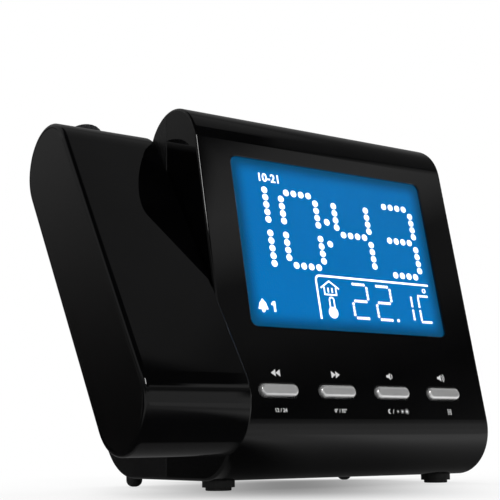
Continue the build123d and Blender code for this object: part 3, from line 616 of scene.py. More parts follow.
@dataclass
class Stencil:
    """Flat raised marks, drawn in millimetres in a plane and lifted off it by a film's thickness.

    Attributes:
        place: The plane, in metres: X across, Y up, Z out of the surface.
        film: Thickness of the marks.
        sink: How far they reach under the plane, so that nothing shows through beneath.
        wrap: Maps a point of the flat drawing to its place on a curved surface.
        strip: Width of the strips that a wrapped drawing is cut into.
        drawing: The marks drawn so far.
    """

    place: Matrix
    film: float = 0.03
    sink: float = 0.0
    wrap: Callable[[Vector], Vector] | None = None
    strip: float = 0.4
    drawing: Mesh = field(default_factory=bmesh.new)

    @property
    def thickness(self) -> Vector:
        """From the underside of the marks to their face."""
        return Vector((0, 0, self.film + self.sink))

    def outline(self, corners: Iterable[Spot]) -> None:
        """Draws a filled outline from its corners in order."""
        made = [self.drawing.verts.new((x, y, -self.sink)) for x, y in corners]
        thicken(self.drawing, [self.drawing.faces.new(made)], self.thickness)

    def between(self, outer: list[Spot], inner: list[Spot]) -> None:
        """Fills the band between two rims of as many points."""
        for k in range(len(outer) - 1):
            self.outline(dict.fromkeys((outer[k], outer[k + 1], inner[k + 1], inner[k])))

    def dot(self, x: float, y: float, radius: float, sides: int = 20) -> None:
        """Draws a filled round dot."""
        self.outline(on_circle(x, y, radius, 0.0, 2 * pi, sides)[:-1])

    def bar(self, start: Spot, end: Spot, width: float) -> None:
        """Draws a straight stroke with square ends.

        Args:
            start: Where it starts.
            end: Where it ends.
            width: The stroke's width.
        """
        run = Vector(end) - Vector(start)
        side = Vector((-run.y, run.x)).normalized() * width / 2
        corners = [Vector(start) - side, Vector(end) - side, Vector(end) + side, Vector(start) + side]
        self.outline([(corner.x, corner.y) for corner in corners])

    def arc(
        self, x: float, y: float, radius: float, width: float,
        start: float = 0.0, sweep: float = 2 * pi, steps: int = 24,
    ) -> None:
        """Draws a round stroke along the middle line that the other values give."""
        rims = [on_circle(x, y, radius + side * width / 2, start, sweep, steps) for side in (1, -1)]
        self.between(*rims)

    def sun(self, x: float, y: float, radius: float) -> None:
        """Draws a sun with eight rays.

        Args:
            x: Its middle.
            y: Its height.
            radius: Its radius without the rays.
        """
        self.dot(x, y, radius)
        near, far = (on_circle(x, y, reach * radius, 0.0, 1.75 * pi, 7) for reach in (1.35, 1.9))
        for start, end in zip(near, far):
            self.bar(start, end, 0.3 * radius)

    def crescent(self, x: float, y: float, radius: float) -> None:
        """Draws a moon's crescent, open to the right.

        Args:
            x: The moon's middle.
            y: Its height.
            radius: The moon's radius.
        """
        bite, shift = 0.8 * radius, 0.5 * radius
        reach = (radius ** 2 + shift ** 2 - bite ** 2) / (2 * shift)
        moon_end, bite_end = acos(reach / radius), acos((reach - shift) / bite)
        outer = on_circle(x, y, radius, moon_end, 2 * (pi - moon_end), 10)
        inner = on_circle(x + shift, y, bite, bite_end, 2 * (pi - bite_end), 10)
        inner[0], inner[-1] = outer[0], outer[-1]
        self.between(outer, inner)

    def bell(self, x: float, y: float, size: float) -> None:
        """Draws a bell.

        Args:
            x: Its middle.
            y: Height of its shoulder.
            size: Half the width of its mouth.
        """
        shoulder, mouth = 0.69 * size, y - 0.8 * size
        self.dot(x, y, shoulder, sides=24)
        self.outline([(x - shoulder, y), (x - size, mouth), (x + size, mouth), (x + shoulder, y)])
        self.dot(x, y - size, 0.33 * size)
        self.dot(x, y + 0.78 * size, 0.21 * size)

    def numerals(self, text: str, x: float, y: float, height: float, weight: float) -> None:
        """Sets plain numerals centred on a place.

        Args:
            text: The numerals.
            x: The middle's X.
            y: The middle's Y.
            height: Height of a numeral.
            weight: How far the strokes are thickened on each side.
        """
        curve = bpy.data.curves.new("numerals", "FONT")
        curve.body = text
        curve.align_x = curve.align_y = "CENTER"
        curve.size = height * MM / NUMERAL_SHARE
        curve.offset = weight * MM
        carrier = bpy.data.objects.new("numerals", curve)
        bpy.context.scene.collection.objects.link(carrier)
        bpy.context.view_layer.update()
        mesh = bpy.data.meshes.new_from_object(carrier)
        bpy.data.objects.remove(carrier)
        letters = bmesh.new()
        letters.from_mesh(mesh)
        for vertex in letters.verts:
            vertex.co = Vector((vertex.co.x / MM + x, vertex.co.y / MM + y, -self.sink))
        bmesh.ops.remove_doubles(letters, verts=letters.verts, dist=WELD)
        thicken(letters, letters.faces, self.thickness)
        letters.to_mesh(mesh)
        letters.free()
        self.drawing.from_mesh(mesh)
        bpy.data.meshes.remove(mesh)

    def _cut_across(self) -> None:
        """Cuts the drawing into narrow strips, so that it bends smoothly."""
        rises = [vertex.co.y for vertex in self.drawing.verts]
        low, strips = min(rises), int((max(rises) - min(rises)) / self.strip) + 1
        for step in range(1, strips):
            everything = [*self.drawing.verts, *self.drawing.edges, *self.drawing.faces]
            bmesh.ops.bisect_plane(
                self.drawing, geom=everything, dist=CUT,
                plane_co=(0, low + step * self.strip, 0), plane_no=(0, 1, 0),
            )

    def piece(self, name: str) -> Object:
        """Puts the drawing in its place and makes the object.

        Args:
            name: The piece's name.

        Returns:
            The object, with its place in its mesh.
        """
        if self.wrap is not None:
            self._cut_across()
            for vertex in self.drawing.verts:
                vertex.co = self.wrap(vertex.co)
        place = self.place @ Matrix.Scale(MM, 4)
        bmesh.ops.transform(self.drawing, matrix=place, verts=self.drawing.verts)
        return finished(self.drawing, name)


# --- the clock ---


class Segment(Enum):
    """The seven strokes of a numeral."""

    TOP = "top"
    MIDDLE = "middle"
    BOTTOM = "bottom"
    UPPER_LEFT = "upper left"
    UPPER_RIGHT = "upper right"
    LOWER_LEFT = "lower left"
    LOWER_RIGHT = "lower right"


STROKES: dict[str, tuple[Segment, ...]] = {
    "0": tuple(s for s in Segment if s is not Segment.MIDDLE),
    "2": tuple(s for s in Segment if s not in (Segment.UPPER_LEFT, Segment.LOWER_RIGHT)),
    "3": tuple(s for s in Segment if s not in (Segment.UPPER_LEFT, Segment.LOWER_LEFT)),
    "4": (Segment.UPPER_LEFT, Segment.UPPER_RIGHT, Segment.MIDDLE, Segment.LOWER_RIGHT),
    "C": (Segment.TOP, Segment.UPPER_LEFT, Segment.LOWER_LEFT, Segment.BOTTOM),
}


@dataclass(frozen=True)
class DotNumeral:
    """The cell of a numeral whose strokes are rows of dots, in millimetres.

    Attributes:
        half_width: From the cell's middle to its side strokes.
        top: Rise of the top stroke over the middle one.
        across: Pitch of the dots in a level stroke.
        along: Pitch of the dots in an upright stroke.
        level_dots: Dots in a level stroke.
        upright_dots: Dots in an upright stroke.
        radius: Radius of a dot.
    """

    half_width: float
    top: float
    across: float
    along: float
    level_dots: int
    upright_dots: int
    radius: float

    def draw(self, stencil: Stencil, strokes: Iterable[Segment], x: float, y: float) -> None:
        """Draws a numeral's strokes.

        Args:
            stencil: What it is drawn with.
            strokes: The strokes that are lit.
            x: The cell's middle.
            y: Height of its middle stroke.
        """
        level = {Segment.TOP: self.top, Segment.MIDDLE: 0.0, Segment.BOTTOM: -self.top}
        upright = {
            Segment.UPPER_LEFT: (-1, 1), Segment.UPPER_RIGHT: (1, 1),
            Segment.LOWER_LEFT: (-1, -1), Segment.LOWER_RIGHT: (1, -1),
        }
        for stroke in strokes:
            count = self.level_dots if stroke in level else self.upright_dots
            for dot in range(count):
                shift = dot - (count - 1) / 2
                if stroke in level:
                    spot = (x + shift * self.across, y + level[stroke])
                else:
                    side, end = upright[stroke]
                    spot = (x + side * self.half_width, y + end * self.top / 2 + shift * self.along)
                stencil.dot(*spot, self.radius)


@dataclass(frozen=True)
class Layout:
    """Where the display's plane lies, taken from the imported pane.

    Attributes:
        lean: The display face's lean, back from vertical, in radians.
        window_low: Lowest corner of the display pane.
        window_high: Highest corner of the display pane.
        front: Its most outward corner.
    """

    lean: float
    window_low: Vector
    window_high: Vector
    front: Vector

    @classmethod
    def measured(cls) -> "Layout":
        """Reads the layout from the frame.

        Returns:
            The layout: the pane's box, and the lean of its largest face to the front.
        """
        low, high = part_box("lcd_window")
        pane = bpy.data.objects["lcd_window"].data
        face = max(pane.polygons, key=lambda face: face.area if face.normal.y < -0.5 else 0.0)
        lean = atan2(face.normal.z, -face.normal.y)
        out = Vector((0, -cos(lean), sin(lean)))
        return cls(lean, low, high, max((vertex.co.copy() for vertex in pane.vertices), key=out.dot))

    @property
    def out(self) -> Vector:
        """The display face's outward direction."""
        return Vector((0, -cos(self.lean), sin(self.lean)))

    @property
    def up(self) -> Vector:
        """The direction up the display face."""
        return Vector((0, sin(self.lean), cos(self.lean)))

    @property
    def pane_middle(self) -> Vector:
        """The middle of the pane's front."""
        middle = (self.window_low + self.window_high) / 2
        return middle + self.out * (self.front - middle).dot(self.out)

    @property
    def pane_size(self) -> Spot:
        """The width of the pane's box, and its height up the face."""
        size = self.window_high - self.window_low
        return size.x, size.z / cos(self.lean)

    def on_face(self, depth: float = 0.0) -> Matrix:
        """The plane of the display face, or one under it, with the pane's middle as its origin."""
        return plane_at(self.pane_middle - self.out * depth, Vector((1, 0, 0)), self.up, self.out)


@dataclass
class Display:
    """The lit display: its pane and the marks that show on the panel, drawn in millimetres.

    Attributes:
        layout: The clock's planes.
        pane: Thickness of the pane over the marks, in metres.
        corner: Radius of the pane's corners, in metres.
        bevel: Width of the pane's fine bevel, in metres.
        panel_depth: How far the panel lies under the face, in metres.
        digits: The large numerals of the time.
        small: The numerals of the temperature.
        tenth: The smaller numerals at its end.
    """

    layout: Layout
    pane: float = 0.82 * MM
    corner: float = 2.6 * MM
    bevel: float = 0.12 * MM
    panel_depth: float = 0.9 * MM
    digits: DotNumeral = DotNumeral(7.75, 13.95, 3.35, 2.84, 4, 4, 1.27)
    small: DotNumeral = DotNumeral(3.7, 6.45, 1.25, 1.36, 5, 4, 0.57)
    tenth: DotNumeral = DotNumeral(2.5, 5.15, 1.08, 1.08, 5, 4, 0.5)

    def stencil(self) -> Stencil:
        """A stencil on the panel's face."""
        return Stencil(self.layout.on_face(self.panel_depth))

    def time_marks(self) -> Object:
        """The time in large dotted numerals.

        Returns:
            The piece of all its dots.
        """
        marks = self.stencil()
        middle_row, ten_hours, colon = 6.05, -31.1, -4.55
        for start in (20.0, 3.43):
            for dot in range(5):
                marks.dot(ten_hours, start - dot * self.digits.along, self.digits.radius)
        for numeral, x in (("0", -16.5), ("4", 7.55), ("3", 30.05)):
            self.digits.draw(marks, STROKES[numeral], x, middle_row)
        for rise in (10.4, 1.8):
            marks.dot(colon, rise, self.digits.radius)
        return marks.piece("time_marks")

    def temperature_marks(self) -> Object:
        """The room temperature in small dotted numerals, with its frame line.

        Returns:
            The piece of the numerals, the degree ring and the line.
        """
        marks = self.stencil()
        row, tenth_row = -19.5, -20.65
        for x in (5.6, 16.85):
            self.small.draw(marks, STROKES["2"], x, row)
        marks.dot(22.45, row - self.small.top + 0.05, 0.6)
        for side in (Segment.UPPER_RIGHT, Segment.LOWER_RIGHT):
            self.tenth.draw(marks, (side,), 30.7 - self.tenth.half_width, tenth_row)
        self.tenth.draw(marks, STROKES["C"], 36.8, tenth_row)
        marks.arc(37.95, -13.3, 0.72, 0.42, steps=16)
        left, right, top, bottom, bend, stroke = -13.8, 40.6, -10.95, -27.2, 1.9, 0.75
        marks.bar((left, bottom), (left, top - bend), stroke)
        marks.arc(left + bend, top - bend, bend, stroke, start=pi / 2, sweep=pi / 2, steps=8)
        marks.bar((left + bend, top), (right, top), stroke)
        return marks.piece("temperature_marks")

    def house(self, marks: Stencil, x: float, eave: float) -> None:
        """A house, for the room's own temperature.

        Args:
            marks: What it is drawn with.
            x: Its middle.
            eave: Height of its roof's lower ends.
        """
        line, ridge, ground = 0.55, eave + 2.85, eave - 2.35
        for side in (-1, 1):
            wall, bar = x + side * 2.65, x + side * 0.9
            marks.bar((x + side * 4.15, eave), (x - side * 0.1, ridge), line)
            marks.bar((wall, eave + 0.5), (wall, ground), line)
            marks.bar((bar, eave + 0.25), (bar, eave - 1.55), 0.6)
        marks.bar((x - 2.9, ground), (x + 2.9, ground), line)

    def thermometer(self, marks: Stencil, x: float, top: float) -> None:
        """A thermometer.

        Args:
            marks: What it is drawn with.
            x: Its middle.
            top: Height of its stem's upper end.
        """
        line, stem, bulb = 0.55, 1.0, top - 4.7
        for side in (-1, 1):
            marks.bar((x + side * stem, top), (x + side * stem, bulb), line)
        marks.arc(x, top, stem, line, sweep=pi, steps=10)
        marks.bar((x, top - 2.7), (x, bulb), 0.9)
        marks.dot(x, bulb, 2.1, sides=28)

    def symbol_marks(self) -> Object:
        """The house, thermometer and bell symbols, with plain numerals.

        Returns:
            The piece of the symbols.
        """
        marks = self.stencil()
        self.house(marks, -8.0, -15.55)
        self.thermometer(marks, -8.0, -19.9)
        marks.bell(-38.5, -23.45, 2.1)
        one, foot, head = -34.0, -25.8, -22.0
        marks.bar((one + 0.35, foot), (one + 0.35, head), 0.9)
        marks.outline([(one, head), (one - 1.1, head - 1.0), (one - 0.7, head - 1.6), (one, head - 1.15)])
        marks.numerals("10-21", -28.5, 24.75, 3.1, 0.1)
        return marks.piece("symbol_marks")

    def clear_pane(self) -> Object:
        """The pane: a plate with round corners and a fine bevel that catches the light.

        Returns:
            The pane's object.
        """
        width, height = self.layout.pane_size
        height -= self.panel_depth * sin(self.layout.lean) / cos(self.layout.lean)
        plate = bmesh.new()
        bmesh.ops.create_cube(plate, size=1.0)
        bmesh.ops.scale(plate, vec=(width, height, self.pane), verts=plate.verts)
        bmesh.ops.translate(plate, vec=(0, 0, -self.pane / 2), verts=plate.verts)
        for offset, segments, upright in ((self.corner, 8, True), (self.bevel, 2, False)):
            edges = [
                edge for edge in plate.edges
                if (abs(edge.verts[0].co.z - edge.verts[1].co.z) > self.pane / 2) == upright
            ]
            bmesh.ops.bevel(
                plate, geom=edges, offset=offset, segments=segments, affect="EDGES", profile=0.5, material=-1
            )
        bmesh.ops.transform(plate, matrix=self.layout.on_face(), verts=plate.verts)
        return finished(plate, "display_pane")


@dataclass
class FacePrints:
    """The printed symbols above and below the four keys, drawn in millimetres.

    Attributes:
        layout: The clock's planes.
        key_names: The keys' nodes, from left to right.
        rise: The upper symbols' middle above a key's middle.
        drop: The lower symbols' middle below it.
        ink: Thickness of the print.
    """

    layout: Layout
    key_names: tuple[str, ...] = ("seek_back_key", "seek_forward_key", "volume_down_key", "volume_up_key")
    rise: float = 6.2
    drop: float = 6.55
    ink: float = 0.02

    def centres(self) -> list[Spot]:
        """The keys' middles on the face.

        Returns:
            Across and rise from the pane's middle, for each key.
        """
        spots = []
        for name in self.key_names:
            low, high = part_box(name)
            gap = ((low + high) / 2 - self.layout.pane_middle) / MM
            spots.append((gap.x, gap.dot(self.layout.up)))
        return spots

    def arrows(self, marks: Stencil, x: float, y: float, way: int) -> None:
        """Two arrowheads, one behind the other.

        Args:
            marks: What they are drawn with.
            x: Their middle.
            y: Their height on the face.
            way: -1 points left and 1 right.
        """
        length, half = 1.85, 1.25
        for base in (x - way * length, x):
            marks.outline([(base, y - half), (base, y + half), (base + way * length, y)])

    def loudspeaker(self, marks: Stencil, x: float, y: float, waves: int) -> None:
        """A loudspeaker with sound waves.

        Args:
            marks: What it is drawn with.
            x: Its middle.
            y: Its height on the face.
            waves: How many waves it has.
        """
        neck = x - 1.3
        back, rim, half, wide = neck - 0.85, neck + 0.95, 0.5, 1.3
        marks.outline([
            (back, y - half), (back, y + half), (neck, y + half),
            (rim, y + wide), (rim, y - wide), (neck, y - half),
        ])
        for wave in range(waves):
            marks.arc(neck + 0.7, y, 1.05 + 0.75 * wave, 0.32, start=-0.85, sweep=1.7, steps=8)

    def hour_choice(self, marks: Stencil, x: float, y: float) -> None:
        """12 or 24 hours."""
        marks.numerals("12 / 24", x, y, 1.25, 0.04)

    def degree_choice(self, marks: Stencil, x: float, y: float) -> None:
        """Two temperature scales, each shown by its freezing point."""
        marks.numerals("0° / 32°", x, y, 1.2, 0.04)

    def nap_choice(self, marks: Stencil, x: float, y: float) -> None:
        """A crescent for the nap timer, and a sun in three strengths for the dimmer.

        Args:
            marks: What they are drawn with.
            x: Their middle.
            y: Their height on the face.
        """
        marks.crescent(x - 3.6, y, 0.85)
        marks.bar((x - 2.15, y - 0.75), (x - 1.65, y + 0.75), 0.2)
        for step, radius in enumerate((0.3, 0.42, 0.54)):
            marks.sun(x + 0.2 + 2.1 * step, y, radius)

    def list_sheet(self, marks: Stencil, x: float, y: float) -> None:
        """A small sheet with lines for the calendar list.

        Args:
            marks: What it is drawn with.
            x: Its middle.
            y: Its height on the face.
        """
        for rise in (y + (line - 1.5) * 0.52 for line in range(4)):
            marks.bar((x - 0.62, rise), (x + 0.62, rise), 0.2)
        for side in (x - 0.8, x + 0.8):
            marks.bar((side, y - 1.1), (side, y + 1.1), 0.16)

    def piece(self) -> Object:
        """Draws all symbols of the key row.

        Returns:
            The print's piece.
        """
        marks = Stencil(self.layout.on_face(), film=self.ink)
        upper = (
            (self.arrows, -0.4, -1), (self.arrows, 0.3, 1),
            (self.loudspeaker, 0.8, 1), (self.loudspeaker, 0.7, 2),
        )
        lower = (
            (self.hour_choice, -0.15), (self.degree_choice, 0.25),
            (self.nap_choice, 1.15), (self.list_sheet, 1.65),
        )
        for (x, y), (draw_upper, right, kind), (draw_lower, shift) in zip(self.centres(), upper, lower):
            draw_upper(marks, x + right, y + self.rise, kind)
            draw_lower(marks, x + shift, y - self.drop)
        return marks.piece("key_prints")


@dataclass
class Seam:
    """The tongue that keeps light out of the hairline gap between the two shells.

    Attributes:
        inset: How far it stays inside the shells' sides and floor.
        crest_inset: How far it stays under the crest.
        width: How far it reaches inwards, within the walls.
        play: Air on each side of it.
    """

    inset: float = 0.40 * MM
    crest_inset: float = 0.80 * MM
    width: float = 1.5 * MM
    play: float = 0.02 * MM

    def piece(self) -> Object:
        """Makes the tongue, a flat frame in the seam's plane.

        Returns:
            The tongue's object.
        """
        low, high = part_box("front_shell")
        start, end = high.y + self.play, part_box("rear_shell")[0].y - self.play
        tongue = bmesh.new()
        rims = []
        for inset in (self.inset, self.inset + self.width):
            left, right, floor = low.x + inset, high.x - inset, low.z + inset
            crest = high.z - self.crest_inset + self.inset - inset
            corners = ((left, floor), (right, floor), (right, crest), (left, crest))
            rims.append([tongue.verts.new((x, start, z)) for x, z in corners])
        outer, inner = rims
        sides = [tongue.faces.new((outer[k - 1], outer[k], inner[k], inner[k - 1])) for k in range(4)]
        thicken(tongue, sides, Vector((0, end - start, 0)))
        return finished(tongue, "seam_tongue")


@dataclass
class CrownPrints:
    """The printed symbols on the five keys of the crown, which follow its curve, in millimetres.

    Attributes:
        slant: How far the keys' middles lean back from the top, in radians.
        radius: Radius of the keys' faces.
        ink: Thickness of the print.
        sink: How far it reaches into the face.
        stroke: Width of the symbols' lines.
    """

    slant: float = radians(38.0)
    radius: float = 17.05
    ink: float = 0.02
    sink: float = 0.04
    stroke: float = 0.32

    def bend(self, spot: Vector) -> Vector:
        """Lays a point of the flat drawing onto the curved face."""
        turn, reach = spot.y / self.radius, self.radius + spot.z
        return Vector((spot.x, reach * sin(turn), reach * cos(turn) - self.radius))

    def stencil(self, key: str) -> Stencil:
        """A stencil on a key's face, with its up direction to the back.

        Args:
            key: The key's node.

        Returns:
            The stencil, centred on the face.
        """
        across, out = Vector((1, 0, 0)), Vector((0, sin(self.slant), cos(self.slant)))
        back = Vector((0, cos(self.slant), -sin(self.slant)))
        corners = [vertex.co for vertex in bpy.data.objects[key].data.vertices]
        low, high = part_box(key)
        along = sum(pick(co.dot(back) for co in corners) for pick in (min, max)) / 2
        spot = across * (low.x + high.x) / 2 + back * along + out * max(co.dot(out) for co in corners)
        return Stencil(plane_at(spot, across, back, out), self.ink, self.sink, self.bend)

    def clock_face(self, marks: Stencil) -> None:
        """A clock's ring and hands, for setting the time.

        Args:
            marks: What they are drawn with.
        """
        marks.arc(0, 0, 1.7, 0.34, steps=28)
        marks.bar((0, -0.17), (0, 1.15), self.stroke)
        marks.bar((0.16, 0), (0.95, 0), self.stroke)

    def first_bell(self, marks: Stencil, number: str = "1") -> None:
        """A bell and its number, for one of the alarms."""
        marks.bell(-1.2, 0.15, 1.35)
        marks.numerals(number, 1.75, 0, 2.6, 0.06)

    def second_bell(self, marks: Stencil) -> None:
        """The other alarm's bell."""
        self.first_bell(marks, "2")

    def moon(self, marks: Stencil) -> None:
        """A crescent, for sleeping on."""
        marks.crescent(0, 0, 1.9)

    def radio_waves(self, marks: Stencil) -> None:
        """A mast between waves, for the radio.

        Args:
            marks: What they are drawn with.
        """
        marks.dot(0, 0, 0.42)
        marks.bar((0, -0.3), (0, -1.8), 0.34)
        for side in (0.0, pi):
            for radius in (1.15, 1.95):
                marks.arc(0, 0, radius, self.stroke, start=side - 0.75, sweep=1.5, steps=8)

    def pieces(self) -> dict[str, Object]:
        """Draws the symbol of each key.

        Returns:
            The pieces by the key that they ride on.
        """
        symbols = {
            "time_key": self.clock_face, "alarm_one_key": self.first_bell, "snooze_bar": self.moon,
            "alarm_two_key": self.second_bell, "radio_key": self.radio_waves,
        }
        made = {}
        for key, draw in symbols.items():
            marks = self.stencil(key)
            draw(marks)
            made[key] = marks.piece(f"{key}_print")
        return made


# --- studio ---


@dataclass(frozen=True)
class Patch:
    """A part of the mirrored room or floor, with soft borders.

    Attributes:
        level: Its brightness.
        spans: The axes that bound it, each with where it starts and where it is full.
        joined: The axes that bound a second area which it also covers, if any.
    """

    level: float
    spans: tuple[Span, ...]
    joined: tuple[Span, ...] = ()

    def cover(self, tree: Tree, axes: dict[str, Socket]) -> Socket:
        """Its mask.

        Args:
            tree: The tree that it is for.
            axes: The values that its spans name.

        Returns:
            The mask's socket: 1 inside and 0 outside.
        """
        areas = []
        for spans in filter(None, (self.spans, self.joined)):
            areas.append(tree.product(*(tree.remap(axes[axis], start, full) for axis, start, full in spans)))
        return tree.brightest(*areas)


# brightness of the room in front, as (elevation in degrees, level)
FRONT_LEVELS = (
    (-90.0, 0.10), (-4.0, 0.50), (9.0, 0.45), (12.0, 0.25), (18.0, 0.06), (20.5, 0.03), (22.5, 0.07),
    (24.0, 0.12), (27.0, 0.13), (28.8, 0.40), (30.5, 0.50), (32.5, 0.42), (34.5, 0.27), (37.5, 0.05),
    (40.0, 0.09), (53.0, 0.09), (54.8, 0.15), (58.0, 0.16), (75.0, 0.14), (90.0, 0.20),
)
# what lies over that, by the direction's own x, y and z and by how far it faces the camera's way:
# the dark high left, the low soft box before the arm, the dark over it and at its rim, the light
# high back, the dim wall behind and its white foot
ROOM = (
    Patch(0.02, (("x", 0.40, 0.05), ("z", 0.60, 0.68), ("y", 0.45, 0.25))),
    Patch(0.43, (("x", 0.566, 0.554), ("y", -0.60, -0.70), ("z", 0.40, 0.30), ("z", -0.10, 0.0))),
    Patch(
        0.02, (("x", 0.575, 0.550), ("y", -0.268, -0.282), ("z", 0.54, 0.58)),
        (("x", 0.531, 0.509), ("y", -0.60, -0.66), ("z", 0.46, 0.53)),
    ),
    Patch(0.38, (("y", 0.25, 0.60), ("x", 0.45, 0.15), ("z", 0.45, 0.65))),
    Patch(0.17, (("facing", 0.45, 0.80), ("z", 0.95, 0.70))),
    Patch(1.00, (("facing", 0.70, 0.95), ("z", 0.26, 0.12))),
)
BACK_LEFT = Patch(1.0, (("x", -0.10, -0.35), ("y", 0.0, 0.35)))
# the floor's painted levels in reflections, by place: under the arm, to the right, behind and on the outer
# left
FLOOR = (
    Patch(0.13, (("x", -0.028, -0.034), ("x", -0.085, -0.075), ("y", -0.047, -0.043), ("y", 0.06, 0.03))),
    Patch(0.45, (("x", 0.12, 0.22),)),
    Patch(0.45, (("y", 0.09, 0.18), ("x", -0.05, 0.0))),
    Patch(0.45, (("x", -0.10, -0.20), ("y", 0.02, -0.05))),
)
# the soft pool of painted shade under the object, by how far aside of its middle line and how far
# along the camera's way
PAINTED_POOL_MIDDLE = 0.010
PAINTED_POOL = Patch(0.70, (("aside", 0.072, 0.0), ("y", -0.140, -0.045), ("y", 0.100, 0.060)))


@dataclass(frozen=True)
class SoftBox:
    """A soft box.

    Attributes:
        name: The lamp's name.
        place: Where it hangs.
        aim: What it points at.
        size: Its width and height.
        level: The brightness of its face.
        mirrored: Whether glossy surfaces show it.
    """

    name: str
    place: Triple
    aim: Triple
    size: Spot
    level: float
    mirrored: bool

    def build(self) -> None:
        """Hangs the lamp."""
        light = bpy.data.lights.new(self.name, "AREA")
        light.shape = "RECTANGLE"
        light.size, light.size_y = self.size
        light.energy = self.level * pi * self.size[0] * self.size[1]
        made = bpy.data.objects.new(self.name, light)
        made.location = self.place
        made.visible_glossy = self.mirrored
        made.rotation_euler = (Vector(self.aim) - Vector(self.place)).to_track_quat("-Z", "Y").to_euler()
        bpy.context.scene.collection.objects.link(made)


